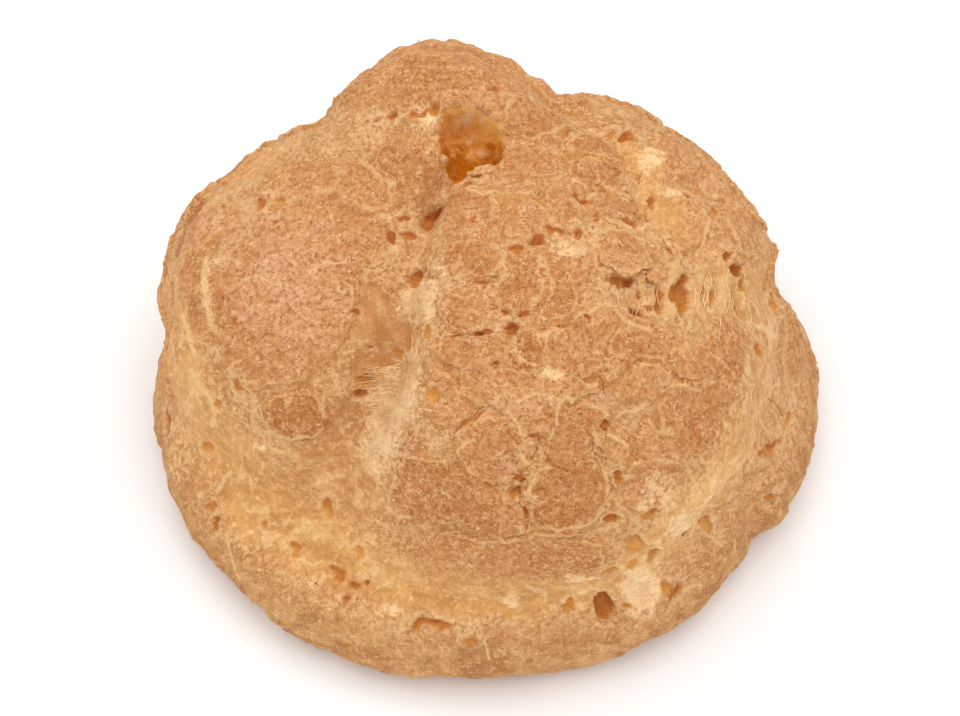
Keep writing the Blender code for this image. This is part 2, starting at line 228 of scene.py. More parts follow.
GAP_PITS = (
    (15.3, 14.8, 1.6, 0.7, 0, 1.2, 0.4), (16.6, 14.7, 0.6, 0.6, 0, 1.6, 0.1),
    (17.7, 13.4, 0.2, 0.5, 20, 0.8, 0.2), (17.3, 10.9, 0.6, 0.6, 0, 1.1, 0.2),
    (18.9, 12.0, 0.9, 0.3, 0, 0.8, 0.3), (20.2, 12.8, 0.45, 1.7, 0, 1.1, 0.4),
    (23.2, 13.4, 0.8, 2.5, 0, 2.0, 0.45), (21.9, 13.5, 0.5, 1.0, 0, 1.2, 0.6),
    (26.9, 13.2, 0.5, 1.1, -15, 0.7, 0.7), (27.9, 17.5, 0.4, 0.6, 0, 1.0, 0.1),
    (29.1, 16.1, 0.7, 0.8, -35, 1.6, 0.2), (30.2, 14.6, 0.3, 1.0, 18, 0.9, 0.3),
)
PITS = CREVICE_PITS + CENTRE_PITS + WAXY_PITS + TOP_PITS + GAP_PITS
# Soft amber patches of the film: across, up, half width, half height, strength
AMBER_PATCHES = (
    (-11.1, 13.6, 1.6, 1.3, 0.9), (-13.2, 9.4, 1.2, 2.0, 0.5), (-10.4, 8.4, 0.9, 2.3, 1.0),
    (-12.7, 4.6, 0.8, 1.0, 0.9), (-14.1, 3.0, 0.9, 1.4, 0.9), (-10.5, 16.2, 0.8, 1.6, 0.5),
)
# A sunk crescent round a blister, as scallops: middle, radius, first and last angle, half width, depth
SCALLOPS = ((-16.5, -18.9, 1.75, 165.0, 255.0, 0.4, 1.0), (-15.2, -19.9, 1.2, 215.0, 330.0, 0.4, 1.0))

# Plates of the front: how dark, then the ovals that make it up (across, up, half sizes, turn)
PLATES = (
    (0.65, ((9.6, -2.5, 2.4, 3.3, 0), (12.2, -1.0, 1.5, 1.1, -30))),
    (0.8, ((8.8, -9.7, 4.0, 3.5, 0), (11.0, -9.2, 2.3, 2.9, 0))),
    (0.15, ((14.2, -3.9, 2.3, 1.1, -28),)),
    (0.5, ((0.5, -3.9, 2.9, 3.0, -15), (2.8, -5.8, 1.8, 1.6, 0))),
    (0.35, ((4.6, -1.1, 1.6, 1.9, -10),)),
    (0.35, ((3.1, -12.1, 1.4, 2.3, 0),)),
    (0.8, ((-6.3, -9.5, 4.2, 4.3, 0), (-1.2, -10.1, 2.7, 3.6, 0))),
    (0.1, ((5.0, -4.8, 0.6, 1.1, 15),)),
    (0.4, ((-1.7, -16.8, 6.9, 1.8, 0), (7.4, -16.2, 5.7, 2.1, 0))),
    (0.45, ((16.9, 7.7, 3.2, 2.3, 0),)),
    (0.6, ((23.5, -0.6, 3.9, 3.6, 0), (26.0, 1.3, 2.3, 2.1, 0))),
    (0.5, ((28.8, 7.5, 2.1, 3.0, 0),)),
    (0.3, ((23.6, 5.5, 3.0, 1.7, 0),)),
    (0.3, ((17.4, 3.1, 2.0, 1.6, 0),)),
    (0.15, ((20.0, -3.4, 1.8, 2.0, 0),)),
    (0.4, ((19.0, -8.1, 3.0, 2.2, 0),)),
    (0.1, ((14.5, 4.7, 0.9, 1.1, 0),)),
    (1.2, ((5.2, 7.0, 1.6, 2.5, 0),)),
    (0.5, ((-2.3, 11.0, 2.5, 1.6, 0),)),
    (0.45, ((-1.8, 7.0, 3.6, 1.2, 0),)),
    (0.35, ((8.2, 7.0, 1.6, 2.2, 0),)),
    (0.4, ((11.6, 7.8, 1.6, 2.9, 0), (13.0, 9.2, 2.0, 2.2, 0))),
    (0.2, ((4.8, 2.9, 6.7, 1.8, 0),)),
    (0.35, ((-4.5, 1.3, 2.5, 2.5, 0),)),
    (0.5, ((-8.3, -2.6, 0.9, 1.1, 0),)),
    (0.6, ((-1.8, 17.1, 2.9, 2.5, 0),)),
    (0.65, ((3.3, 16.0, 1.7, 1.8, 0), (4.0, 13.3, 2.5, 1.6, 0))),
    (0.5, ((8.4, 15.6, 2.5, 2.0, 0), (7.8, 12.3, 2.0, 1.6, 0))),
    (0.6, ((-1.4, 22.4, 2.0, 2.3, 0),)),
    (0.5, ((4.9, 21.5, 2.7, 2.0, 0),)),
    (0.6, ((8.5, 22.7, 1.8, 1.8, 0),)),
    (0.75, ((15.5, 22.8, 2.7, 1.8, 0),)),
    (0.75, ((12.8, 26.8, 2.5, 2.3, 0),)),
    (0.7, ((13.2, 29.8, 3.5, 1.6, 0),)),
    (0.6, ((5.5, 33.5, 3.2, 2.2, 0),)),
    (0.6, ((4.5, 27.9, 2.7, 1.8, 0),)),
    (0.9, ((10.6, 35.9, 1.3, 1.0, 0),)),
    (0.6, ((8.6, 30.6, 1.8, 2.4, 0),)),
    (0.15, ((23.6, 21.3, 3.5, 2.3, 0),)),
    (0.05, ((29.7, 20.9, 2.1, 2.8, 0),)),
    (0.1, ((22.7, 29.2, 3.0, 2.3, -30),)),
    (0.25, ((26.8, 26.1, 2.5, 1.5, -30),)),
    (0.4, ((15.4, 17.9, 2.7, 2.2, 0),)),
    (0.5, ((-22.4, 13.0, 7.2, 11.0, -18), (-19.5, 20.5, 8.0, 5.0, 0))),
    (0.55, ((-33.2, 13.4, 2.0, 4.4, 6),)),
    (0.35, ((-32.6, 20.7, 2.2, 2.2, 0),)),
    (1.3, ((-22.0, -0.4, 3.2, 2.8, 0),)),
    (0.5, ((-6.4, 38.1, 11.0, 3.9, 0),)),
    (0.65, ((-9.1, 28.0, 3.4, 3.0, 0),)),
    (0.35, ((-21.6, 25.3, 4.6, 2.5, 15),)),
    (0.25, ((-14.6, 24.6, 3.4, 3.0, 0),)),
)
PLATE_MARGIN = 0.8
# Plates out of the front's sight: how many rays are tried for them, the most that are kept, how far
# apart they are, above what height, and their half sizes and tones from the least to the most
HIDDEN_TRIES = 900
HIDDEN_PLATES = 70
HIDDEN_SPACING = 5.8
HIDDEN_ABOVE = 15.0
HIDDEN_SIZES = (2.6, 5.4)
HIDDEN_TONES = (0.1, 0.6)
HIDDEN_SEED = 11

# Strokes that say where the crust is something else: across, up, strength, half width
WAXY_BAND = (
    (-37.0, 14.0, 0.9, 2.6), (-35.5, 5.0, 1.0, 3.4), (-31.5, -4.0, 1.0, 5.0), (-27.0, -11.0, 1.0, 6.2),
    (-20.5, -15.5, 1.0, 6.2), (-13.0, -19.0, 1.0, 4.8), (-4.0, -21.8, 1.0, 3.6), (6.0, -22.2, 1.0, 3.2),
    (13.0, -21.2, 1.0, 3.0), (19.0, -17.4, 1.0, 3.6), (24.5, -12.0, 1.0, 3.6), (29.0, -5.5, 1.0, 3.6),
    (32.4, 3.0, 1.0, 3.2), (33.4, 12.0, 0.9, 2.6), (33.6, 17.0, 0.5, 2.0),
)
# The recess, and the film below, are also coloured with painted shade
RECESS = (
    (-21.5, -5.8, 0.8, 3.0), (-18.0, -8.2, 1.0, 4.0), (-15.2, -10.0, 1.0, 3.4), (-12.8, -13.0, 0.6, 2.6),
)
FILM = (
    (-12.6, 13.2, 0.7, 1.6), (-12.6, 10.5, 1.0, 2.5), (-12.6, 7.0, 1.0, 2.6), (-14.0, 3.2, 1.0, 1.7),
    (-15.6, -0.5, 1.0, 1.4), (-17.0, -4.0, 0.8, 2.0),
)
# The film's lighter pane, an oval: across, up, half width, half height, turn
PANE = (-8.0, 7.9, 1.7, 2.7, 0.0)
# More strokes: pale banks and ridges, upright fibres, and the fold under the left lobe's tip
CREAM_BANK = (
    (-9.4, 5.6, 0.8, 1.8), (-9.8, 3.6, 1.0, 2.4), (-10.8, 0.8, 1.0, 2.8), (-11.6, -2.2, 0.9, 2.9),
    (-12.4, -5.4, 0.7, 2.4),
)
UPPER_BANK = ((-8.4, 14.0, 0.9, 1.5), (-8.2, 11.6, 1.0, 1.9), (-5.8, 13.4, 0.6, 1.8), (-4.6, 17.0, 0.3, 1.4))
PALE_RIDGE = (
    (11.0, 34.6, 0.5, 2.2), (17.0, 29.5, 0.8, 2.4), (20.0, 24.0, 0.9, 2.8), (24.0, 19.0, 0.6, 3.0),
    (30.0, 15.5, 0.6, 2.6),
)
PALE_CREST = ((-32.5, 24.5, 0.9, 2.0), (-27.0, 29.0, 0.9, 2.2), (-21.5, 32.5, 0.6, 1.8))
UPRIGHT_BAND = ((31.0, 16.5, 0.9, 2.4), (32.0, 10.0, 1.0, 3.0), (32.4, 3.0, 1.0, 3.0), (31.0, -3.0, 0.6, 2.4))
TIP_LINE = (
    (-27.8, 4.6, 1.0, 0.22), (-26.8, 1.6, 1.0, 0.22), (-25.6, -0.5, 1.0, 0.22), (-24.2, -2.7, 1.0, 0.24),
    (-21.4, -3.2, 1.0, 0.22), (-19.3, -2.6, 1.0, 0.22), (-18.4, 0.4, 1.0, 0.2),
)
# Pale patches of dough: across, up, half width, half height, strength
PALE_PATCHES = (
    (18.4, -21.5, 2.0, 2.3, 1.2), (7.2, 4.2, 1.3, 0.9, 0.75), (-6.5, 34.0, 1.2, 1.8, 0.7),
    (-8.1, 12.4, 2.0, 1.9, 0.9), (20.4, -9.0, 1.8, 2.4, 0.4), (-24.5, -4.8, 3.0, 0.7, 0.2),
    (23.0, -13.4, 2.6, 1.6, 0.5), (9.7, 18.4, 2.0, 1.2, 0.55), (22.1, 24.7, 1.7, 0.5, 0.6),
    (19.1, 28.8, 1.0, 1.7, 0.6), (7.7, 4.5, 1.2, 0.7, 0.9), (-20.4, -21.4, 1.2, 0.5, 0.8),
    (-11.8, -23.9, 1.7, 0.6, 0.8), (10.9, -19.4, 2.2, 0.6, 0.7), (2.8, -22.5, 1.0, 0.6, 0.6),
    (18.2, -10.9, 1.1, 0.7, 0.7), (19.6, -15.6, 1.0, 0.4, 0.8), (-26.4, -4.5, 0.5, 0.3, 1.0),
    (17.0, 20.6, 1.2, 0.5, 0.7), (-22.6, 1.2, 0.4, 0.5, 1.0), (-17.9, -18.4, 0.6, 0.7, 0.7),
    (19.2, 12.3, 1.4, 1.2, 0.35), (-31.4, 13.4, 0.8, 4.0, 0.5), (-36.8, -5.2, 1.5, 3.6, 0.25),
)
# Rosy patches of the crust: across, up, half width, half height, strength
ROSY_PATCHES = (
    (-22.5, 14.0, 8.0, 10.0, 0.75), (-31.0, 20.5, 3.5, 3.5, 0.6), (-27.0, 22.5, 4.5, 3.5, 0.5),
    (5.0, 0.8, 5.0, 1.6, 0.6), (13.5, 0.5, 1.6, 3.0, 0.7), (20.5, 3.0, 2.5, 1.6, 0.5),
    (-9.0, -4.0, 3.5, 2.0, 0.6), (16.5, 12.5, 2.5, 1.6, 0.8), (3.0, -6.0, 2.0, 1.5, 0.6),
    (-4.0, 35.0, 6.0, 2.0, 0.5), (25.0, 25.0, 3.0, 3.0, 0.4), (19.0, -9.5, 2.5, 1.6, 0.5),
)
# Painted glints, highlights on the wet dough of the torn hole: across, up, half size
PAINTED_GLINT_SPOTS = (
    (-0.5, 33.9, 0.42), (-2.3, 33.6, 0.5), (-0.8, 32.4, 0.35), (0.6, 30.4, 0.4), (-3.0, 31.4, 0.25),
)
# Plates that have come away: across, up, half width, half height, turn, the side that is free in degrees,
# how high that side stands off, thickness, and how dark they are
FLAKES = (
    (15.6, 17.7, 3.0, 2.3, -8, -90, 0.6, 0.4, 0.1),
    (19.4, 15.9, 1.3, 1.2, 20, -80, 0.35, 0.3, 0.1),
    (14.3, -3.8, 2.3, 1.0, -28, 150, 0.4, 0.3, 0.15),
    (-0.4, 27.3, 1.6, 0.5, 8, 90, 0.15, 0.3, 0.1),
)
FLAKE_ROWS = 20
FLAKE_COLUMNS = 60
# Bundles of stretched strands: how many, where they start and end (across, up), how far both scatter,
# their thickness, and how high they stand off in the middle
STRANDS = (
    (26, (-13.8, 3.6), (-9.8, 4.4), 1.0, 0.05, 0.15),
    (30, (-14.0, 1.6), (-9.6, 2.6), 1.2, 0.05, 0.10),
    (20, (-14.2, -0.8), (-10.2, 0.2), 1.3, 0.045, 0.06),
    (16, (-9.4, 10.4), (-8.4, 13.4), 0.9, 0.05, 0.12),
    (14, (-8.8, 5.4), (-8.4, 9.0), 0.8, 0.045, 0.20),
    (7, (16.6, 10.9), (16.9, 13.4), 1.8, 0.06, 0.15),
    (6, (19.6, 10.9), (19.6, 14.4), 0.8, 0.06, 0.25),
    (12, (25.8, 10.9), (25.5, 15.0), 1.0, 0.07, 0.20),
    (10, (28.8, 10.6), (28.0, 15.0), 1.8, 0.06, 0.15),
    (10, (31.6, 8.0), (31.0, 13.5), 1.4, 0.05, 0.05),
    (10, (9.4, 17.6), (9.7, 18.9), 1.6, 0.045, 0.03),
)
STRAND_SEED = 23
STRAND_ROWS = 9
STRAND_COLUMNS = 4
# Loose crumbs: how many, the smallest and the largest size
CRUMBS = (280, 0.10, 0.24)
CRUMB_SEED = 31
CRUMB_ROWS = 4
CRUMB_COLUMNS = 6
# Open cracks of the crust: half width, strength, and the line's places (across, up)
CRACK_LINES = (
    (0.45, 1.3, ((-33.6, 24.6), (-34.6, 22.9), (-35.3, 21.5), (-35.9, 20.0), (-36.7, 18.2))),
    (0.16, 0.9, ((-32.3, 27.1), (-31.1, 28.2), (-30.1, 28.6))),
    (0.30, 1.1, ((-37.2, 14.7), (-37.3, 12.7), (-37.5, 10.9), (-37.2, 9.2))),
    (0.16, 1.0, ((-3.2, -2.2), (-2.5, -1.4), (-2.1, -0.9), (-1.3, -0.7), (-0.8, -0.2), (-0.3, 0.3))),
    (0.10, 0.8, ((-0.1, 1.1), (0.0, 1.9))),
    (0.11, 0.9, ((2.8, -1.6), (2.8, -2.2), (3.3, -3.0), (3.6, -3.3))),
    (0.11, 0.9, ((5.8, -1.1), (6.8, -0.7), (7.1, -0.5), (7.6, 0.1))),
    (0.11, 0.8, ((7.8, -1.5), (7.8, -2.1))),
    (0.17, 1.0, ((4.8, -2.7), (5.7, -2.4), (5.9, -2.2), (6.0, -3.2))),
    (0.18, 1.0, ((5.1, -5.4), (5.3, -5.1), (5.8, -4.1))),
    (0.10, 1.0, ((7.1, -5.5), (7.4, -5.8), (8.0, -6.2), (8.3, -6.4), (9.2, -6.6), (9.8, -7.0))),
    (0.13, 0.8, ((3.5, -6.9), (4.1, -6.9), (4.9, -6.1), (5.4, -5.6))),
    (0.13, 0.9, ((3.3, -7.6), (4.0, -8.0), (4.5, -7.5), (4.8, -7.8))),
    (0.13, 0.9, ((3.8, -8.7), (4.1, -9.7), (3.9, -10.3), (4.3, -10.9), (4.6, -11.7), (4.9, -12.5),
     (4.7, -13.3))),
    (0.10, 0.7, ((1.4, -7.2), (1.6, -9.0), (1.0, -10.2), (0.9, -11.1), (0.8, -12.2))),
    (0.08, 0.7, ((-0.4, -6.6), (-0.0, -6.8), (0.8, -7.2))),
    (0.10, 0.7, ((-4.4, -11.8), (-4.1, -11.2), (-3.9, -10.7))),
    (0.10, 0.7, ((-3.7, -12.3), (-3.5, -13.1), (-3.4, -14.0))),
    (0.11, 0.8, ((-9.4, -4.6), (-9.1, -4.1))),
    (0.10, 0.7, ((-8.4, -4.0), (-7.6, -3.3), (-6.7, -3.4))),
    (0.11, 0.8, ((-4.5, -3.8), (-3.8, -3.6), (-3.2, -2.9))),
    (0.11, 0.8, ((11.6, -1.1), (12.2, -1.6), (12.5, -1.8))),
    (0.11, 0.9, ((12.2, -3.7), (12.3, -4.7), (12.8, -5.2), (13.1, -5.5), (13.7, -5.4))),
    (0.11, 0.9, ((13.6, -3.9), (13.9, -4.7))),
    (0.10, 0.7, ((-7.4, 2.8), (-6.2, 3.4), (-5.2, 3.4), (-4.1, 3.5))),
    (0.10, 0.7, ((-4.1, 3.0), (-3.2, 3.3), (-2.4, 3.6), (-1.8, 3.7))),
    (0.14, 0.9, ((12.9, 3.7), (13.2, 2.8), (13.4, 1.9), (13.7, 1.6))),
    (0.17, 0.9, ((13.6, -2.3), (14.2, -1.8), (14.5, -0.9), (14.3, -0.1))),
    (0.08, 0.9, ((18.2, 5.0), (18.8, 5.1), (19.3, 5.1), (19.8, 5.2))),
    (0.12, 0.8, ((17.8, 4.0), (18.2, 5.0))),
    (0.12, 0.7, ((20.9, 4.3), (21.1, 3.9))),
    (0.10, 0.9, ((22.1, 3.6), (22.9, 3.5), (23.6, 3.4), (24.4, 3.6))),
    (0.10, 0.8, ((13.3, 6.5), (13.9, 5.9), (14.6, 5.9))),
    (0.13, 0.8, ((20.4, 5.9), (20.8, 5.9), (21.3, 6.6))),
    (0.10, 0.9, ((27.0, 5.8), (27.6, 5.4), (28.4, 5.2), (28.6, 4.8), (29.5, 4.2), (30.1, 3.8))),
    (0.12, 1.0, ((34.1, 1.1), (34.7, 0.8), (35.4, 0.6), (35.9, 0.0), (36.1, -0.7))),
    (0.11, 0.8, ((16.6, -4.1), (16.6, -5.1), (17.1, -5.6))),
    (0.11, 0.8, ((16.1, -2.5), (16.7, -3.1), (17.4, -3.3))),
    (0.08, 1.0, ((-4.3, 9.1), (-3.7, 8.7), (-3.1, 8.9), (-2.8, 9.2), (-2.2, 8.8), (-1.9, 8.6),
     (-0.9, 8.5), (-0.3, 8.6), (0.4, 8.7), (1.0, 8.8), (1.7, 8.9))),
    (0.10, 0.9, ((-1.5, 15.1), (-0.9, 14.6), (-0.0, 15.1), (0.9, 15.0), (1.5, 15.1))),
    (0.08, 0.8, ((-6.8, 14.8), (-6.1, 14.9))),
    (0.08, 0.7, ((-2.3, 13.9), (-2.1, 14.3), (-1.2, 14.8))),
    (0.11, 0.8, ((0.8, 12.2), (1.2, 11.4))),
    (0.12, 0.9, ((1.8, 11.5), (2.2, 11.3), (3.2, 11.1))),
    (0.13, 0.9, ((3.9, 10.6), (4.5, 10.7), (5.2, 10.8))),
    (0.08, 0.8, ((2.9, 14.1), (3.9, 13.9), (4.5, 14.0), (5.2, 14.1))),
    (0.11, 0.9, ((7.6, 16.1), (7.8, 16.4))),
    (0.11, 0.8, ((6.3, 10.1), (6.7, 9.2))),
    (0.10, 0.8, ((7.7, 9.6), (8.8, 9.4), (9.5, 9.5))),
    (0.10, 0.7, ((1.7, 18.3), (2.4, 17.8), (3.0, 17.9))),
    (0.10, 0.7, ((0.2, 16.7), (0.8, 16.2))),
    (0.08, 0.7, ((-4.6, 13.1), (-4.0, 12.7), (-3.5, 12.3), (-2.6, 12.3))),
    (0.13, 0.9, ((20.7, 19.3), (21.2, 18.6), (21.7, 17.9))),
    (0.08, 0.7, ((13.0, 21.5), (14.0, 20.9), (14.7, 20.7), (15.3, 20.6))),
    (0.16, 0.7, ((15.5, 21.5), (16.4, 21.4), (17.4, 20.9), (17.8, 21.2))),
    (0.10, 0.8, ((20.4, 26.3), (20.5, 25.7))),
    (0.11, 0.8, ((18.0, 26.6), (18.1, 27.3))),
    (0.11, 0.7, ((18.5, 21.9), (18.5, 23.4))),
    (0.07, 0.8, ((30.2, 21.8), (30.8, 21.1), (31.6, 20.7))),
    (0.10, 0.8, ((29.1, 19.0), (29.4, 18.4))),
    (0.10, 0.9, ((17.8, 16.1), (18.0, 16.3), (18.7, 16.8))),
    (0.10, 0.8, ((-19.1, 26.9), (-18.9, 26.4))),
    (0.08, 0.8, ((-19.8, 21.8), (-20.4, 21.1))),
    (0.08, 0.8, ((-20.2, 20.1), (-20.4, 19.3), (-20.9, 18.2))),
    (0.10, 0.8, ((-16.5, 18.0), (-16.3, 18.9))),
    (0.10, 0.7, ((-23.1, 15.2), (-22.9, 15.5), (-22.5, 15.3))),
    (0.10, 0.7, ((-21.1, 16.4), (-20.9, 16.7), (-20.2, 16.8))),
    (0.10, 0.8, ((-18.7, 11.3), (-18.1, 11.4), (-17.5, 11.5))),
    (0.11, 0.7, ((-12.1, 16.2), (-11.7, 16.4))),
    (0.10, 0.7, ((-17.0, 15.9), (-16.8, 16.2))),
    (0.10, 0.7, ((-15.0, 15.1), (-14.2, 15.6))),
    (0.10, 0.7, ((-25.2, 8.3), (-24.9, 8.9), (-24.5, 8.8))),
    (0.10, 0.8, ((-26.8, 8.1), (-26.2, 8.3))),
    (0.08, 0.6, ((-31.5, 14.7), (-31.3, 13.6), (-30.8, 12.9))),
    (0.10, 0.7, ((-15.6, 17.0), (-15.8, 16.1), (-15.1, 15.7))),
    (0.14, 0.8, ((22.8, -20.7), (22.7, -21.8), (21.8, -22.8), (21.1, -23.7))),
    (0.08, 0.6, ((24.0, -20.7), (24.5, -19.9), (25.6, -20.4))),
    (0.10, 0.6, ((6.5, -27.8), (8.2, -27.9), (9.7, -27.5), (10.7, -28.1))),
    (0.12, 0.7, ((11.8, -17.2), (12.8, -17.6), (13.5, -17.3))),
    (0.11, 0.7, ((6.1, -14.9), (6.6, -15.2))),
    (0.11, 0.8, ((5.4, -17.6), (6.2, -16.9))),
    (0.11, 0.7, ((12.7, -17.8), (12.2, -18.6))),
    (0.12, 0.7, ((-20.0, -20.8), (-20.8, -20.4))),
    (0.11, 0.7, ((-38.1, 0.5), (-38.4, -0.6), (-38.3, -1.6), (-38.0, -2.8))),
    (0.10, 0.6, ((-33.6, -10.3), (-32.7, -10.5), (-32.5, -10.8))),
)
# Pale rims and folds: half width, strength, and the line's places
PALE_LINES = (
    (0.45, 0.7, ((-31.9, 17.5), (-32.2, 14.5), (-31.6, 11.0), (-31.0, 9.0))),
    (0.20, 1.0, ((12.8, 19.8), (14.0, 20.6), (16.5, 21.0), (18.6, 21.2))),
    (0.20, 0.9, ((-6.3, 9.3), (-6.8, 7.7), (-7.2, 6.5), (-8.1, 5.4), (-9.8, 4.8), (-11.6, 5.2))),
    (0.19, 1.0, ((8.5, 1.1), (8.8, 1.4), (10.1, 1.4), (11.0, 1.2), (11.9, 0.4), (12.5, 0.4), (13.4, 0.2),
     (13.4, -1.0))),
    (0.16, 0.6, ((8.2, 0.8), (8.0, -0.1), (8.0, -1.3), (7.5, -2.4), (7.0, -3.5))),
    (0.19, 0.9, ((13.1, -2.9), (14.2, -2.8), (15.3, -3.4), (16.1, -4.1), (16.3, -4.9))),
    (0.14, 0.6, ((13.4, -5.2), (14.7, -5.4), (15.8, -5.9))),
    (0.18, 0.9, ((6.9, -6.3), (6.1, -6.5), (5.6, -7.5), (5.1, -8.0), (4.9, -9.1), (5.5, -9.4))),
    (0.17, 0.9, ((4.2, -13.6), (5.2, -13.5), (6.8, -13.2), (8.4, -13.2), (9.7, -12.8), (10.8, -12.5),
     (12.4, -12.2), (13.2, -11.2))),
    (0.22, 0.7, ((13.4, -6.7), (13.7, -7.8), (13.7, -9.6), (13.5, -11.0))),
    (0.14, 0.6, ((-0.1, -0.8), (0.7, -0.5), (1.1, -0.8))),
    (0.16, 0.7, ((-1.1, -3.1), (-2.1, -3.5), (-2.9, -4.4), (-2.7, -5.4), (-1.9, -6.4), (-0.7, -7.4))),
    (0.14, 0.6, ((2.8, 0.3), (3.2, -0.5), (3.9, -1.1), (4.1, -2.2), (4.8, -2.7))),
    (0.14, 0.5, ((4.0, 1.4), (4.9, 1.8), (6.5, 2.1), (7.9, 1.6))),
    (0.16, 1.0, ((-6.4, -3.6), (-5.5, -3.7), (-5.0, -3.7), (-4.0, -3.8))),
    (0.14, 0.7, ((-7.3, -1.7), (-8.4, -2.1), (-8.9, -3.1), (-9.5, -4.1), (-10.0, -5.1))),
    (0.18, 0.7, ((-9.9, -7.4), (-10.6, -9.2), (-10.9, -10.8), (-10.1, -11.8), (-8.6, -12.2))),
    (0.13, 0.7, ((1.8, -14.7), (2.6, -14.9), (3.3, -14.8), (4.0, -14.0))),
    (0.12, 0.7, ((4.3, -3.8), (4.1, -4.6), (4.5, -5.4))),
    (0.17, 0.9, ((19.8, 2.2), (20.6, 2.6), (21.3, 2.9), (22.5, 2.9), (23.8, 2.4))),
    (0.14, 0.8, ((17.4, 5.3), (18.8, 5.1), (19.8, 5.2), (19.9, 5.8), (20.2, 6.8))),
    (0.14, 0.8, ((12.9, 4.9), (13.3, 5.2), (14.2, 5.0), (14.5, 4.1))),
    (0.17, 0.8, ((15.1, -0.9), (16.0, -0.0), (16.8, -0.3), (17.5, 0.3))),
    (0.17, 0.6, ((29.5, -0.3), (29.7, 0.8), (29.9, 1.9))),
    (0.14, 0.8, ((34.4, 1.1), (34.7, 2.1), (35.6, 2.7))),
    (0.12, 0.8, ((32.9, -1.0), (33.4, -1.9), (34.4, -2.9), (35.1, -3.4))),
    (0.27, 1.0, ((12.2, 19.3), (13.0, 20.0), (14.2, 20.3), (15.3, 20.6), (16.6, 20.2), (17.8, 19.8))),
    (0.22, 1.0, ((12.0, 19.1), (12.2, 18.6), (13.3, 18.2), (13.7, 17.2), (13.6, 16.4))),
    (0.16, 0.9, ((13.7, 15.9), (14.8, 15.6), (15.7, 15.7), (17.2, 16.2))),
    (0.14, 0.8, ((3.7, 9.2), (3.4, 8.3), (3.5, 6.6), (3.9, 5.8), (5.3, 5.3))),
    (0.12, 0.5, ((0.1, 13.9), (0.1, 13.3), (-0.1, 12.3))),
    (0.16, 0.6, ((-1.7, 24.8), (-0.1, 24.3), (1.1, 24.3), (2.8, 24.2))),
    (0.22, 0.9, ((11.5, 10.9), (12.6, 11.8), (13.3, 11.9), (14.4, 11.6), (15.1, 10.5), (16.1, 9.7),
     (17.0, 9.5), (18.2, 9.0))),
    (0.16, 0.6, ((2.2, 17.4), (2.0, 16.5), (2.4, 15.6))),
    (0.16, 0.7, ((13.9, 25.0), (15.2, 24.7), (17.2, 24.3), (18.0, 25.2))),
    (0.16, 0.6, ((24.8, 22.8), (25.3, 21.7), (25.0, 20.1), (24.9, 18.8), (24.5, 17.9))),
    (0.13, 0.6, ((10.7, 27.7), (11.1, 28.5), (12.2, 28.6), (13.0, 28.1))),
    (0.14, 0.7, ((-16.0, 14.2), (-15.3, 13.8), (-15.0, 12.6), (-15.2, 11.4))),
    (0.14, 0.6, ((-15.9, 16.7), (-17.1, 16.5), (-18.5, 16.8), (-19.0, 16.1), (-19.9, 15.7))),
    (0.13, 0.5, ((-27.1, 14.9), (-25.9, 15.2), (-24.7, 14.6))),
    (0.31, 0.8, ((-35.2, 10.9), (-34.8, 9.9), (-34.4, 8.6), (-34.2, 7.4), (-33.9, 6.2))),
    (0.17, 0.7, ((-32.9, 8.0), (-32.0, 7.5), (-31.1, 7.0), (-30.5, 5.9))),
    (0.31, 0.8, ((-34.2, 4.4), (-33.3, 3.7), (-33.0, 2.8), (-32.2, 1.9), (-31.8, 1.1), (-31.5, -0.2),
     (-31.7, -2.0))),
    (0.19, 0.9, ((-29.9, 4.2), (-29.2, 3.5), (-29.3, 2.5), (-28.9, 2.0), (-28.6, 1.6))),
    (0.14, 0.8, ((-26.1, 3.4), (-27.4, 3.2), (-27.4, 2.5), (-27.1, 2.0), (-26.5, 1.1))),
    (0.14, 0.8, ((-28.2, 5.6), (-28.7, 5.4), (-29.2, 4.6), (-28.1, 3.8), (-27.4, 3.2))),
    (0.34, 0.7, ((-26.9, 0.9), (-26.6, -0.2), (-27.0, -1.3), (-26.6, -2.4), (-25.8, -3.1))),
    (0.18, 0.7, ((-25.7, -1.2), (-25.1, -2.1), (-24.9, -2.8), (-24.0, -3.2), (-23.0, -3.2), (-22.4, -3.1),
     (-20.7, -2.9))),
    (0.17, 0.9, ((-18.5, 1.5), (-18.7, 0.5), (-18.4, -0.3), (-18.2, -0.7))),
    (0.14, 1.0, ((-25.5, -3.8), (-24.9, -4.4), (-24.0, -4.7))),
    (0.12, 0.6, ((-28.8, -4.8), (-29.1, -6.8), (-29.5, -8.2), (-29.7, -9.0))),
    (0.19, 0.7, ((-29.2, -11.6), (-28.4, -12.3), (-27.3, -12.4), (-25.9, -11.9))),
    (0.17, 0.9, ((-26.8, -14.6), (-26.5, -14.9), (-25.4, -14.7))),
    (0.22, 0.6, ((-30.6, -15.0), (-30.3, -16.2), (-29.9, -17.5), (-29.5, -18.6), (-29.2, -20.1))),
    (0.16, 0.7, ((-21.5, -18.2), (-20.7, -18.6), (-19.8, -18.2))),
    (0.17, 0.8, ((-9.8, -23.8), (-9.6, -24.6), (-9.9, -25.9))),
    (0.14, 0.6, ((-3.1, -25.7), (-3.1, -26.9))),
    (0.17, 0.6, ((-0.1, -27.0), (0.2, -28.2), (0.5, -29.2))),
    (0.22, 0.8, ((25.3, -13.9), (26.3, -14.6), (27.3, -15.6), (28.0, -16.2))),
    (0.17, 0.6, ((29.8, -15.9), (30.0, -17.0))),
    (0.16, 0.5, ((23.5, -21.6), (24.2, -21.1), (25.5, -21.0))),
    (0.19, 0.6, ((23.5, -7.7), (24.2, -9.3), (24.0, -11.1))),
    (0.18, 0.7, ((22.1, -8.8), (21.3, -9.8), (20.1, -10.7))),
)
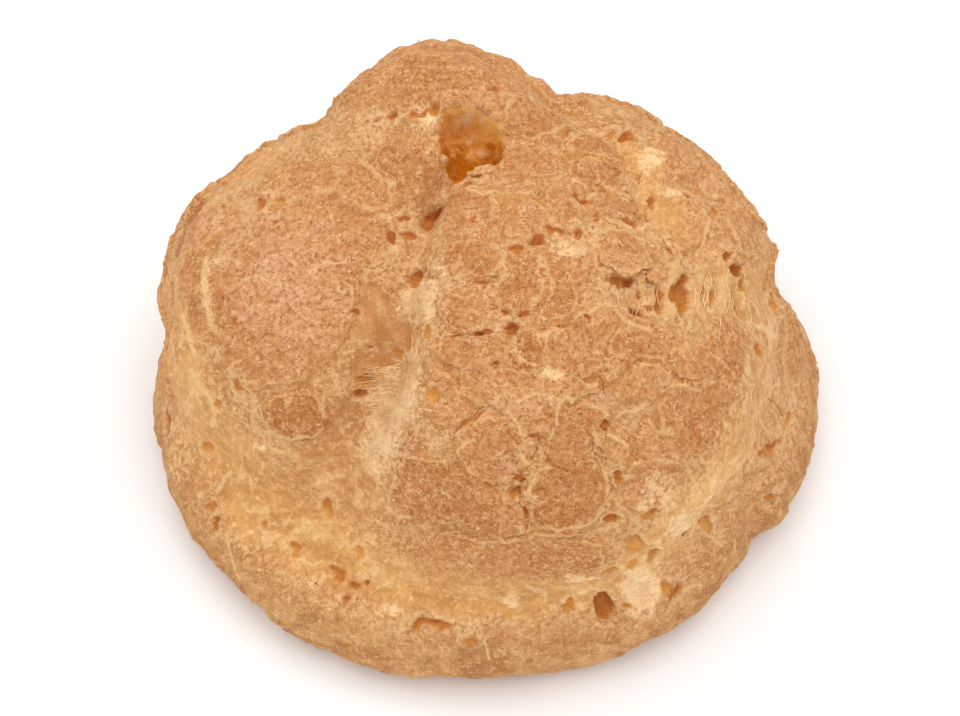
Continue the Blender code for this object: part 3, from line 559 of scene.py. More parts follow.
# Webs of stretched dough across gap and crevice: half width, height, and the line's places
WEBS = (
    (0.48, 0.55, ((21.7, 16.8), (22.0, 16.2), (21.4, 14.3), (20.8, 13.4), (21.5, 12.4), (21.6, 11.0))),
    (0.78, 0.35, ((25.2, 16.4), (25.0, 14.5), (25.1, 11.7))),
    (0.23, 0.45, ((27.0, 14.5), (27.1, 13.9), (27.3, 12.8), (26.8, 11.9))),
    (0.43, 0.45, ((28.1, 16.1), (28.0, 13.8), (28.0, 11.7))),
    (0.20, 0.35, ((28.8, 15.5), (28.5, 13.8), (28.8, 12.4))),
    (0.28, 0.35, ((30.0, 14.5), (30.3, 13.1), (30.6, 11.7))),
    (0.27, 0.45, ((19.4, 13.4), (19.7, 12.3), (18.7, 11.8))),
    (0.27, 0.45, ((18.0, 16.3), (18.3, 15.0), (18.0, 13.7))),
    (0.18, 0.35, ((14.7, 14.3), (14.3, 12.7))),
    (0.19, 0.25, ((-8.9, 9.3), (-9.2, 7.8), (-9.7, 6.0), (-10.0, 5.2))),
    (0.24, 0.55, ((-9.8, 4.8), (-8.6, 5.2), (-7.7, 5.6), (-6.7, 6.5), (-6.3, 7.5))),
    (0.16, 0.25, ((-11.9, 6.9), (-10.7, 6.1), (-10.0, 5.2))),
    (0.17, 0.25, ((-13.3, 8.8), (-12.4, 7.5), (-12.5, 6.7))),
    (0.18, 0.25, ((-7.9, 9.5), (-7.5, 8.7), (-6.8, 7.4))),
    (0.19, 0.25, ((-14.8, 4.2), (-14.4, 2.9), (-14.9, 1.5))),
)


# Relief of the crust, in millimetres
PLATE_LIFT = 0.50
PLATE_RIM_LIFT = 0.14
BLISTER_HEIGHT = 0.16
LUMP_HEIGHT = 0.22
GRAIN_HEIGHT = 0.22
STREAK_HEIGHT = 0.24
FOLD_HEIGHT = 0.22
PIT_LIP_HEIGHT = 0.14
CREAM_HEIGHT = 0.30
RIDGE_HEIGHT = 0.10
CRACK_DEPTH = 0.20
SPLIT_DEPTH = 0.16
FILM_DEPTH = 0.50


def picked(values, names):
    """Some values of a dictionary, by their names in one string, in its order."""
    return [values[name] for name in names.split()]


def fade(low, high, value):
    """Smooth step: 0 at low, 1 at high."""
    share = np.clip((value - low) / (high - low), 0.0, 1.0)
    return share * share * (3.0 - 2.0 * share)


def lobe_distance(points, centre, half_axes):
    """Distance to an ellipsoid, nearly: k0 (k0 - 1) / k1, with k0 = |p/r| and k1 = |p/r^2|."""
    offset = points - np.array(centre)
    axes = np.array(half_axes)
    scaled = np.linalg.norm(offset / axes, axis=-1)
    twice = np.linalg.norm(offset / axes ** 2, axis=-1)
    return scaled * (scaled - 1.0) / np.maximum(twice, 1e-6)


def foot_distance(points):
    """Distance to the foot, a disc of the rim's height whose edge is rounded."""
    past_edge = np.hypot(points[..., 0], points[..., 1]) - (RIM_RADIUS - RIM_EDGE_RADIUS)
    return np.hypot(np.maximum(past_edge, 0.0), points[..., 2] - RIM_HEIGHT) - RIM_EDGE_RADIUS


def dough(points):
    """Below zero inside the bun: foot and lobes in a soft minimum, cut flat at height zero."""
    azimuth = np.degrees(np.arctan2(points[..., 1], points[..., 0]))
    angles, reaches = np.transpose(RIM_OUTLINE)
    low_down = fade(RIM_GONE_ABOVE, RIM_FULL_BELOW, points[..., 2])
    stretch = 1.0 + low_down * np.interp(azimuth, angles, reaches) / RIM_RADIUS
    level = np.ones_like(stretch)
    rounded = points / np.stack([stretch, stretch, level], axis=-1)
    total = np.exp(-foot_distance(rounded) / LOBE_BLEND)
    for centre, half_axes in LOBES.values():
        total = total + np.exp(-lobe_distance(rounded, centre, half_axes) / LOBE_BLEND)
    lobes = -LOBE_BLEND * np.log(total)
    return BASE_EDGE * np.logaddexp(lobes / BASE_EDGE, -points[..., 2] / BASE_EDGE)


def reach(rays):
    """Distance from the core to the dough's edge along each ray, by halving the interval."""
    near = np.full(rays.shape[:-1], EDGE_FROM)
    far = np.full(rays.shape[:-1], EDGE_TO)
    for _ in range(EDGE_HALVINGS):
        middle = (near + far) / 2.0
        inside = dough(CORE + rays * middle[..., None]) < 0.0
        near = np.where(inside, middle, near)
        far = np.where(inside, far, middle)
    return (near + far) / 2.0


def outward(points):
    """Unit direction out of the dough: the slope of its distance along each axis."""
    slope = np.empty_like(points)
    for axis in range(3):
        step = np.zeros(3)
        step[axis] = SLOPE_STEP
        slope[..., axis] = dough(points + step) - dough(points - step)
    return slope / np.linalg.norm(slope, axis=-1, keepdims=True)


def swell(points):
    """Height of the slow swells: a sum of plane waves."""
    total = np.zeros(points.shape[:-1])
    for direction, length, height, phase in SWELLS:
        along = np.array(direction) / np.linalg.norm(direction)
        total += height * np.sin(2.0 * np.pi * (points @ along) / length + phase)
    return total


def on_face(points):
    """Across and up coordinates on the leaning face."""
    return np.stack([points @ FACE_ACROSS, points @ FACE_UP], axis=-1)


def from_face(place):
    """Points of the leaning face itself, through the origin, from their across and up."""
    return place[..., 0:1] * FACE_ACROSS + place[..., 1:2] * FACE_UP


def landing(place):
    """Where lines through the face points, square to the face, first meet the dough from the front.

    A line that misses the dough stops beside it, and its point goes to the nearest edge along the
    dough's slope.
    """
    origin = from_face(place)
    height = np.full(place.shape[:-1], LANDING_FROM)
    for _ in range(LANDING_STEPS):
        height -= LANDING_SHARE * np.maximum(dough(origin + height[..., None] * FACE), 0.0)
        height = np.maximum(height, LOWEST_LANDING)
    points = origin + height[..., None] * FACE
    for _ in range(4):
        points = points - dough(points)[..., None] * outward(points)
    return points


# ----------------------------------------------------------
# Noise and strokes
# ----------------------------------------------------------

def corner_height(cell, seed):
    """A number from -1 to 1 for each corner of a lattice, by mixing the bits of its coordinates."""
    mixed = cell.astype(np.int64) @ np.array([73856093, 19349663, 83492791]) + seed * 40503
    for _ in range(2):
        mixed = ((mixed ^ (mixed >> 15)) * 739981693) & 0xFFFFFFFF
    return mixed / 2.0 ** 31 - 1.0


def turned(points, seed):
    """The points turned by an angle of the seed's own about each of two axes."""
    a, b = 0.7 + 1.9 * seed, 0.4 + 2.3 * seed
    first = np.array([[np.cos(a), -np.sin(a), 0.0], [np.sin(a), np.cos(a), 0.0], [0.0, 0.0, 1.0]])
    second = np.array([[1.0, 0.0, 0.0], [0.0, np.cos(b), -np.sin(b)], [0.0, np.sin(b), np.cos(b)]])
    return points @ (first @ second)


def lattice_noise(points, size, seed):
    """Value noise from -1 to 1: heights at the corners of a lattice, blended smoothly between them."""
    scaled = turned(points, seed) / size
    cell = np.floor(scaled)
    share = fade(0.0, 1.0, scaled - cell)
    total = np.zeros(points.shape[:-1])
    for corner in np.ndindex(2, 2, 2):
        weight = np.prod(np.where(corner, share, 1.0 - share), axis=-1)
        total += weight * corner_height(cell + np.array(corner), seed)
    return total


def octaves(points, size, count, seed):
    """Noise of several sizes, each half as large and half as high as the last."""
    total = np.zeros(points.shape[:-1])
    for level in range(count):
        total += 0.5 ** level * lattice_noise(points, size * 0.5 ** level, seed + level)
    return total


def shaken(points, size, height, seed):
    """The points pushed about by noise, so that what is drawn from them has a ragged outline."""
    push = [octaves(points, size, 3, seed + 7 * axis) for axis in range(3)]
    return points + height * np.stack(push, axis=-1)


def cells(points, size, seed, jitter=0.85):
    """Distances to the nearest and the next of one random point in each lattice cell, and its number."""
    scaled = turned(points, seed) / size
    cell = np.floor(scaled)
    nearest = np.full(points.shape[:-1], 9.0)
    second = np.full(points.shape[:-1], 9.0)
    number = np.zeros(points.shape[:-1])
    for corner in np.ndindex(3, 3, 3):
        there = cell + np.array(corner) - 1.0
        spot = there + 0.5
        offset = np.stack([corner_height(there, seed + axis + 1) for axis in range(3)], axis=-1)
        gap = np.linalg.norm(spot + 0.5 * jitter * offset - scaled, axis=-1)
        closer = gap < nearest
        second = np.where(closer, nearest, np.minimum(second, gap))
        number = np.where(closer, corner_height(there, seed + 9), number)
        nearest = np.where(closer, gap, nearest)
    return nearest * size, second * size, number


def smooth_run(stations, steps=GROOVE_STEPS):
    """A Catmull-Rom curve through the stations, read at even steps."""
    given = np.array(stations, dtype=float)
    padded = np.vstack([2 * given[0] - given[1], given, 2 * given[-1] - given[-2]])
    place = np.linspace(0.0, len(given) - 1.0, steps)
    start = np.minimum(place.astype(int), len(given) - 2)
    t = (place - start)[:, None]
    a, b, c, d = padded[start], padded[start + 1], padded[start + 2], padded[start + 3]
    bend = (2 * a - 5 * b + 4 * c - d) * t ** 2
    twist = (3 * b - a - 3 * c + d) * t ** 3
    return 0.5 * (2 * b + (c - a) * t + bend + twist)


def stroke(place, stations):
    """A soft stroke on the face: the highest of round bells strung along its smooth run."""
    highest = np.zeros(place.shape[:-1])
    for across, up, height, half_width in smooth_run(stations):
        square = (place[..., 0] - across) ** 2 + (place[..., 1] - up) ** 2
        highest = np.maximum(highest, height * np.exp(-square / half_width ** 2))
    return highest


def beside_run(place, stations):
    """Distance along a run of stations, and distance to its side, in millimetres, for each place."""
    run = smooth_run(stations)[:, :2]
    steps = np.diff(run, axis=0)
    lengths = np.linalg.norm(steps, axis=-1)
    before = np.cumsum(lengths) - lengths
    nearest = np.full(place.shape[:-1], 1e9)
    along = np.zeros(place.shape[:-1])
    aside = np.zeros(place.shape[:-1])
    for start, unit, length, so_far in zip(run, steps / lengths[:, None], lengths, before):
        offset = place - start
        on = np.clip(offset @ unit, 0.0, length)
        square = np.sum((offset - on[..., None] * unit) ** 2, axis=-1)
        closer = square < nearest
        nearest = np.where(closer, square, nearest)
        along = np.where(closer, so_far + on, along)
        aside = np.where(closer, offset[..., 0] * unit[1] - offset[..., 1] * unit[0], aside)
    return along, aside


def marked_lines(place, lines, reach_out=1.2):
    """Share, signed side and middle height of broken lines, for each place.

    The side is the distance across the nearest piece of line in half widths, below zero on its left;
    the share falls with the distance from the line, and the height is a bell of its half width.
    """
    flat = place.reshape(-1, 2)
    nearest = np.full(len(flat), 9.0)
    side = np.full(len(flat), 9.0)
    share = np.zeros(len(flat))
    height = np.zeros(len(flat))
    for half_width, strength, corners in lines:
        corners = np.array(corners, dtype=float)
        low, high = corners.min(axis=0) - reach_out, corners.max(axis=0) + reach_out
        index = np.flatnonzero(np.all((flat > low) & (flat < high), axis=-1))
        for start, end in zip(corners[:-1], corners[1:]):
            step = end - start
            offset = flat[index] - start
            on = np.clip(offset @ step / (step @ step), 0.0, 1.0)
            far = np.linalg.norm(offset - on[:, None] * step, axis=-1)
            across = (offset[:, 0] * step[1] - offset[:, 1] * step[0]) / np.linalg.norm(step)
            closer = far < nearest[index]
            chosen = index[closer]
            nearest[chosen] = far[closer]
            side[chosen] = across[closer] / half_width
            share[chosen] = strength * fade(0.5, 0.18, far[closer])
            bell = strength * np.exp(-(far / max(half_width, 0.12)) ** 2)
            height[index] = np.maximum(height[index], bell)
    shape = place.shape[:-1]
    return share.reshape(shape), side.reshape(shape), height.reshape(shape)


def turned_oval(place, across, up, half_across, half_up, turn):
    """Distance from an oval's middle in units of its half sizes: 1 on its outline."""
    angle = np.radians(turn)
    right, above = place[..., 0] - across, place[..., 1] - up
    along = (right * np.cos(angle) + above * np.sin(angle)) / half_across
    aside = (above * np.cos(angle) - right * np.sin(angle)) / half_up
    return np.hypot(along, aside)


def patches(place, rows, outer, inner):
    """The strongest of soft ovals: whole up to the inner share of their size, gone at the outer."""
    strongest = np.zeros(place.shape[:-1])
    for across, up, half_across, half_up, strength in rows:
        away = turned_oval(place, across, up, half_across, half_up, 0.0)
        strongest = np.maximum(strongest, strength * fade(outer, inner, away))
    return strongest


# ----------------------------------------------------------
# The crust's fields: where it is plate, wax, amber or fibre, and how high it stands
# ----------------------------------------------------------

def front_mask(points, normals):
    """1 where the crust looks towards the face, 0 behind."""
    return fade(0.0, 0.3, normals @ FACE) * fade(0.0, 6.0, points @ FACE)


def hidden_plates():
    """Middles, half sizes and tones of the plates out of the front's sight, spread by chance."""
    chance = np.random.default_rng(HIDDEN_SEED)
    rays = chance.normal(size=(HIDDEN_TRIES, 3))
    rays /= np.linalg.norm(rays, axis=-1, keepdims=True)
    points = CORE + rays * reach(rays)[:, None]
    turned_away = (points @ FACE < 4.0) | (outward(points) @ FACE < 0.12)
    hidden = (points[:, 2] > HIDDEN_ABOVE) & turned_away
    chosen = []
    for point in points[hidden]:
        if all(np.linalg.norm(point - other) > HIDDEN_SPACING for other in chosen):
            chosen.append(point)
    middles = np.array(chosen[:HIDDEN_PLATES])
    sizes = chance.uniform(*HIDDEN_SIZES, len(middles))
    return middles, sizes, chance.uniform(*HIDDEN_TONES, len(middles))


def plates(points):
    """For each point: the distance to the seam between plates, into its plate, and the plate's tone.

    A plate's distance is the least of its ovals' (q - 1) times the oval's mean half size, where q is
    the distance from the oval's middle in half sizes. The seam is where two plates are equally far.
    """
    ragged = shaken(points, 3.4, 0.95, 3)
    ragged = shaken(ragged, 1.2, 0.32, 23)
    nearest = np.full(points.shape[:-1], 99.0)
    second = np.full(points.shape[:-1], 99.0)
    tone = np.zeros(points.shape[:-1])
    choices = []
    for darkness, ovals in PLATES:
        gap = np.full(points.shape[:-1], 99.0)
        for across, up, half_across, half_up, turn in ovals:
            middle = landing(np.array([[across, up]], dtype=float))[0]
            offset = ragged - middle
            flat = turned_oval(on_face(offset), 0.0, 0.0, half_across, half_up, turn)
            far = np.hypot(flat, offset @ FACE / (1.25 * max(half_across, half_up)))
            gap = np.minimum(gap, (far - 1.0) * (half_across + half_up) / 2.0)
        choices.append((gap, darkness))
    for middle, size, darkness in zip(*hidden_plates()):
        choices.append((np.linalg.norm(ragged - middle, axis=-1) - size, darkness))
    for gap, darkness in choices:
        closer = gap < nearest
        second = np.where(closer, nearest, np.minimum(second, gap))
        nearest = np.where(closer, gap, nearest)
        tone = np.where(closer, darkness, tone)
    return (second - nearest) / 2.0, PLATE_MARGIN - nearest, tone


def hollows(points, normals):
    """Depth of the broad grooves of the form, as in the solid, and of the outline's dents."""
    place = on_face(points)
    deepest = np.zeros(points.shape[:-1])
    for stations in (CREVICE, UPPER_CLEFT, STRETCHED_GAP, RIM_GROOVE):
        deepest = np.maximum(deepest, stroke(place, stations))
    deepest = deepest * front_mask(points, normals)
    for across, up, half_across, half_up, turn, deep in OUTLINE_DENTS:
        deepest = deepest + deep * np.exp(-turned_oval(place, across, up, half_across, half_up, turn) ** 2)
    return deepest


def torn_hole(points):
    """How far across the torn hole a point is: 0 in its middle, 1 at its torn lip."""
    place = on_face(shaken(points, 1.6, 0.22, 61)) - HOLE_MIDDLE
    angles, reaches = np.transpose(HOLE_REACH)
    turn = np.degrees(np.arctan2(place[..., 1], place[..., 0]))
    return np.hypot(place[..., 0], place[..., 1]) / np.interp(turn, angles, reaches)


def pits(points):
    """Depth, share, lightness and lip of the pits: ovals with ragged outlines, and scallops. A pit's
    lightness is its dough's, with painted shade towards its top and painted light towards its bottom.
    """
    place = on_face(shaken(shaken(points, 1.5, 0.34, 71), 0.7, 0.2, 75))
    depth = np.zeros(points.shape[:-1])
    share = np.zeros(points.shape[:-1])
    light = np.full(points.shape[:-1], 0.3)
    lip = np.zeros(points.shape[:-1])
    for across, up, half_across, half_up, turn, deep, lightness in PITS:
        away = turned_oval(place, across, up, half_across, half_up, turn)
        past = (away - 1.0) * min(half_across, half_up)
        depth = np.maximum(depth, PIT_DEPTH_SHARE * deep * fade(0.2, -0.3, past))
        # Painted shade and light: each pit is darker towards its top and lighter towards its bottom
        shaded = lightness + 0.35 * np.clip((up - place[..., 1]) / half_up, -1.0, 1.0)
        light = np.where((past < 0.5) & (fade(0.5, -0.1, past) > share), shaded, light)
        share = np.maximum(share, fade(0.16, -0.12, past))
        lip = np.maximum(lip, np.exp(-((past - 0.32) / 0.2) ** 2))
    for across, up, radius, first, last, half_width, deep in SCALLOPS:
        right, above = place[..., 0] - across, place[..., 1] - up
        turn = np.degrees(np.arctan2(above, right)) % 360.0
        within = fade(first - 10.0, first + 15.0, turn) * fade(last + 10.0, last - 15.0, turn)
        past = np.abs(np.hypot(right, above) - radius) - half_width * within
        depth = np.maximum(depth, deep * within * fade(0.3, -0.2, past))
        light = np.where((within > 0.3) & (past < 0.4), 0.5, light)
        share = np.maximum(share, within * fade(0.12, -0.1, past))
    return depth, share, light, lip * (1.0 - share)


def stretched_dough(points, ragged, front):
    """Shares of the waxy band, the film of the crevice, the recess, the painted shade over film and recess,
    the pale banks and the gap.

    Behind the front the waxy band goes on as a belt, a bell of the height over the foot. Everything
    else is a stroke or a patch on the face, read at ragged places.
    """
    height = points[..., 2]
    belt = np.exp(-((height - 12.5 - 2.0 * lattice_noise(points, 9.0, 51)) / 3.4) ** 2) * (1.0 - front)
    belt = belt * fade(-0.5, 0.15, octaves(points, 6.0, 3, 53))
    recess = front * stroke(ragged, RECESS)
    film = front * fade(0.2, 0.75, stroke(ragged, FILM))
    wax = np.maximum(front * stroke(ragged, WAXY_BAND), belt)
    wax = np.maximum(wax, np.maximum(recess, film))
    bank = front * np.maximum(stroke(ragged, CREAM_BANK), stroke(ragged, UPPER_BANK))
    pane = front * fade(1.2, 0.6, turned_oval(ragged, *PANE))
    # Painted shade: the film under the left lobe and the recess are darkened, less so on the lighter pane
    dusk = np.maximum(recess, film) * (1.0 - 0.95 * pane)
    gap = front * fade(0.45, 0.95, stroke(ragged, STRETCHED_GAP))
    return {"wax": wax, "film": film, "recess": recess, "bank": bank, "dusk": dusk, "gap": gap}


def streaks_and_folds(points, ragged, front, dough_shares):
    """Heights of the streaks and folds of stretched dough, and the share whose streaks stand upright.

    Noise is drawn out along the waxy band, across the banks, and up and down in film and gap. Folds
    are the seams between cells drawn out along the band, and the line under the left lobe's tip.
    """
    wax, film, bank, dusk, gap = picked(dough_shares, "wax film bank dusk gap")
    depth_in = points @ FACE
    right, up = points @ FACE_ACROSS, points @ FACE_UP
    along, aside = beside_run(on_face(shaken(points, 4.0, 1.1, 231)), WAXY_BAND)
    banded = np.stack([along * 0.24, aside, 0.0 * along], axis=-1)
    folded = np.stack([along * 0.42, aside, 0.0 * along], axis=-1)
    across_bank = np.stack([right * 0.3 + up * 0.1, up * 2.2, 0.2 * depth_in], axis=-1)
    upright = np.stack([right * 1.9, up * 0.3, 0.2 * depth_in], axis=-1)
    in_band = front * np.clip(wax - dusk, 0.0, 1.0)
    in_bank = np.clip(bank, 0.0, 1.0)
    in_film = np.clip(np.maximum(film, gap), 0.0, 1.0)
    upright_share = np.maximum(in_film, front * stroke(ragged, UPRIGHT_BAND))
    streak = in_band * octaves(banded, 1.5, 3, 241) + 1.3 * in_bank * octaves(across_bank, 1.0, 3, 101)
    streak = streak + 1.2 * in_film * octaves(upright, 1.0, 3, 111)
    streak = streak + dough_shares["recess"] * octaves(points, 2.6, 2, 251)
    near, second, chance = cells(folded, 2.6, 261)
    fold = fade(0.15, 0.02, (second - near) / 2.0) * fade(-0.5, 0.5, chance + octaves(points, 5.0, 1, 271))
    fold = fold * np.clip(in_band * 1.4, 0.0, 1.0)
    fold = np.maximum(fold, front * stroke(on_face(shaken(points, 1.5, 0.4, 281)), TIP_LINE))
    return streak, fold, upright_share


def crust_fields(points, normals):
    """Every field of the crust at points of the dough's edge, by name; lengths are in millimetres."""
    front = front_mask(points, normals)
    ragged = on_face(shaken(points, 2.4, 0.7, 41))
    height = points[..., 2]
    depth_in = points @ FACE
    clear = fade(0.5, 4.0, height)
    dough_shares = stretched_dough(points, ragged, front)
    wax, film, bank, dusk, gap = picked(dough_shares, "wax film bank dusk gap")
    streak, fold, upright_share = streaks_and_folds(points, ragged, front, dough_shares)
    in_bank = np.clip(bank, 0.0, 1.0)
    cream = np.maximum(bank, front * patches(ragged, PALE_PATCHES, 1.35, 0.6))
    pale = front * np.maximum(stroke(ragged, PALE_RIDGE), stroke(ragged, PALE_CREST))
    amber = front * patches(ragged, AMBER_PATCHES, 1.3, 0.5)
    rosy = front * patches(ragged, ROSY_PATCHES, 1.5, 0.0)

    # Plates and the seams between them
    seam, outline, tone = plates(points)
    crack = 0.16 + 0.34 * octaves(points, 5.0, 2, 81)
    edge = np.minimum(seam - crack, outline)
    edge = np.minimum(edge, (0.5 - np.maximum(np.maximum(wax, cream), 0.7 * gap)) * 6.0)
    foot = fade(13.0, 9.0, height + 1.5 * lattice_noise(points, 6.0, 91)) * (1.0 - wax)
    edge = np.where(foot > 0.5, np.minimum(edge, 0.6), edge)

    # Cracks, pale rims and webs
    traced = on_face(shaken(shaken(points, 2.0, 0.10, 201), 0.8, 0.08, 211))
    crack_share, crack_side, open_crack = marked_lines(traced, CRACK_LINES)
    ridge_share, ridge_side, ridge = marked_lines(traced, PALE_LINES)
    web = marked_lines(traced, WEBS, 2.4)[2]
    near_front = fade(0.0, 0.14, normals @ FACE) * fade(0.0, 4.0, depth_in)
    crack_share, open_crack = crack_share * near_front, open_crack * near_front
    ridge_share, ridge, web = ridge_share * front, ridge * front, web * front

    # Pits, the torn hole and its painted glints
    pit_depth, pit_share, pit_tone_and_shade, lip = pits(points)
    pit_depth, pit_share, lip = pit_depth * front, pit_share * front, lip * front
    hole = np.where(front > 0.5, torn_hole(points), 9.0)
    wet = np.zeros(points.shape[:-1])
    for across, up, half in PAINTED_GLINT_SPOTS:
        wet = np.maximum(wet, fade(1.2, 0.6, turned_oval(ragged, across, up, half, half, 0.0)))

    # Blisters of the waxy dough, fine splits of the crust, grain and lumps
    near, second, chance = cells(shaken(points, 3.0, 0.5, 121), 2.7, 131)
    blister = np.clip(1.0 - (near / 1.25) ** 2, 0.0, 1.0) * fade(-0.6, 0.4, chance)
    blister = blister * fade(0.3, 0.7, wax - dusk)
    layered = np.stack([points @ FACE_ACROSS * 0.6, points @ FACE_UP * 1.2, 0.4 * depth_in], axis=-1)
    near, second, chance = cells(shaken(layered, 1.2, 0.4, 171), 1.7, 181)
    split_here = fade(0.1, 0.7, octaves(points, 6.0, 2, 191) + 0.4 * chance)
    split = fade(0.13, 0.0, (second - near) / 2.0) * split_here
    grain = octaves(points, 1.1, 2, 141)
    lumps = octaves(points, 3.6, 2, 151)
    rough = 1.0 - 0.75 * np.clip(wax + cream, 0.0, 1.0)
    soft = fade(0.3, 0.9, foot)

    # How far the crust stands out from the dough's edge
    lift = PLATE_LIFT * fade(-0.25, 0.2, edge) + PLATE_RIM_LIFT * np.exp(-((edge - 0.3) / 0.3) ** 2)
    lift = lift * (1.0 - soft) * rough * (0.55 + 0.45 * front)
    rise = lift + BLISTER_HEIGHT * blister + LUMP_HEIGHT * (1.0 + soft) * lumps + GRAIN_HEIGHT * grain * rough
    rise = rise + STREAK_HEIGHT * streak + FOLD_HEIGHT * fold + PIT_LIP_HEIGHT * lip
    rise = rise + CREAM_HEIGHT * cream + RIDGE_HEIGHT * ridge + web - CRACK_DEPTH * open_crack
    rise = rise - SPLIT_DEPTH * split * rough * (1.0 - soft) - FILM_DEPTH * film * (1.0 - in_bank)
    return {
        "front": front, "clear": clear, "rise": rise, "sink": pit_depth, "hole": hole,
        "edge": edge, "tone": tone, "wax": wax, "cream": cream, "pale": pale, "foot": foot,
        "pit": pit_share, "light": pit_tone_and_shade, "lip": lip, "dusk": dusk, "split": split,
        "crack": crack_share, "crack_side": crack_side, "ridge": ridge_share, "ridge_side": ridge_side,
        "web": web, "streak": streak, "fold": fold, "wet": wet, "level": in_bank, "upright": upright_share,
        # above: how high up the face a point lies, which the torn hole's painted light follows
        "gap": gap, "amber": amber, "rosy": rosy, "above": fade(28.5, 33.5, points @ FACE_UP),
    }


def baked(points, normals):
    """The crust's finished points from points of the dough's edge, and the fields they came from.

    A point moves out by the swells and the rise, and in by the deeper of the grooves and pits. Under
    the torn lip it also moves away from the hole's middle, which makes the lip overhang.
    """
    fields = crust_fields(points, normals)
    hole_sink = HOLE_DEPTH * fade(1.02, 0.62, fields["hole"])
    sink = np.maximum(hollows(points, normals) + fields["sink"], hole_sink)
    solid = 1.0 - fade(1.05, 0.85, fields["hole"])
    out = fields["clear"] * (swell(points) + fields["rise"] * solid - sink)
    aside = on_face(points) - HOLE_MIDDLE
    aside = from_face(aside / np.maximum(np.linalg.norm(aside, axis=-1, keepdims=True), 0.1))
    under = HOLE_WIDENING * np.exp(-((fields["hole"] - 0.8) / 0.11) ** 2)
    rugged = HOLE_RUGGEDNESS * octaves(points, 1.9, 3, 161) * (1.0 - solid)
    moved = points + normals * (out + rugged)[..., None] + aside * (fields["front"] * under)[..., None]
    moved[..., 2] = np.where(points[..., 2] < 0.3, 0.0, np.maximum(moved[..., 2], 0.0))
    return moved, fields


# ----------------------------------------------------------
# Meshes
# ----------------------------------------------------------

# The ray grid: lines each way; the share of its width that covers the bun down to the turn angle,
# the rest going on to the cap angle under the base; where squares turn into rings; and its turn
GRID_LINES = 316
TOP_SHARE = 0.90
TURN_ANGLE = np.radians(112.0)
CAP_ANGLE = np.radians(152.0)
RINGS_FROM = 0.3
RINGS_FULL = 0.7
GRID_TURN = np.radians(-38.0)
# Directions towards which the grid lines are drawn: direction, share of the way, width
CLOSER_RAYS = (
    ((-0.04, 0.30, 0.95), 0.42, 0.30), ((-0.30, -0.35, 0.80), 0.25, 0.45), ((0.40, -0.35, 0.80), 0.25, 0.50),
)


def ray_grid(lines):
    """Rays from a square grid wrapped round a ball: its centre is straight up, its edge the cap.

    The square is first laid on a disc, as plain squares in the middle and as rings further out.
    """
    side = np.linspace(-1.0, 1.0, lines)
    x, y = np.meshgrid(side, side)
    square_ring = np.maximum(np.abs(x), np.abs(y))
    wide = np.abs(x) > np.abs(y)
    side_turn = np.where(x > 0.0, 0.0, np.pi) + np.pi / 4.0 * y / np.where(wide, x, 1.0)
    beside = np.where(wide | (y == 0.0), 1.0, y)
    front_turn = np.where(y > 0.0, 0.5, -0.5) * np.pi - np.pi / 4.0 * x / beside
    ring_turn = np.where(wide, side_turn, front_turn)
    ringed = fade(RINGS_FROM, RINGS_FULL, square_ring)
    flat_x = (1.0 - ringed) * x * np.sqrt(1.0 - y ** 2 / 2.0) + ringed * square_ring * np.cos(ring_turn)
    flat_y = (1.0 - ringed) * y * np.sqrt(1.0 - x ** 2 / 2.0) + ringed * square_ring * np.sin(ring_turn)
    ring = np.hypot(flat_x, flat_y)
    turn = np.arctan2(flat_y, flat_x) + GRID_TURN
    above = ring / TOP_SHARE * TURN_ANGLE
    below = TURN_ANGLE + (ring - TOP_SHARE) / (1.0 - TOP_SHARE) * (CAP_ANGLE - TURN_ANGLE)
    lean = np.where(ring < TOP_SHARE, above, below)
    rays = np.stack([np.sin(lean) * np.cos(turn), np.sin(lean) * np.sin(turn), np.cos(lean)], axis=-1)
    for direction, share, width in CLOSER_RAYS:
        gap = np.array(direction) / np.linalg.norm(direction) - rays
        rays = rays + share * gap * np.exp(-(gap ** 2).sum(axis=-1) / width ** 2)[..., None]
        rays = rays / np.linalg.norm(rays, axis=-1, keepdims=True)
    return rays


def grid_faces(lines):
    """Four-sided faces of the grid, wound to face out of the bun, and its outer loop in order."""
    index = np.arange(lines * lines).reshape(lines, lines)
    faces = np.stack([index[:-1, :-1], index[:-1, 1:], index[1:, 1:], index[1:, :-1]], axis=-1)
    loop = np.concatenate([index[0, :-1], index[:-1, -1], index[-1, :0:-1], index[:0:-1, 0]])
    return faces.reshape(-1, 4), loop


def add_piece(name, points, faces, material, fields=()):
    """A smooth-shaded object on the bun's body, with the given material, and its fields as attributes."""
    mesh = bpy.data.meshes.new(name)
    mesh.from_pydata((points * MM).tolist(), [], faces)
    for field, values in dict(fields).items():
        attribute = mesh.attributes.new(field, "FLOAT", "POINT")
        attribute.data.foreach_set("value", np.asarray(values, dtype=np.float32))
    mesh.shade_smooth()
    mesh.materials.append(material)
    piece = bpy.data.objects.new(name, mesh)
    bpy.context.scene.collection.objects.link(piece)
    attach(piece, BODY)
    return piece


# Fields that the crust's material reads
SHOWN_FIELDS = (
    "edge", "tone", "wax", "cream", "pale", "foot", "pit", "light", "lip", "split", "crack", "streak",
    "fold", "dusk", "wet", "above", "level", "upright", "gap", "amber", "rosy", "crack_side", "ridge",
    "ridge_side", "web",
)


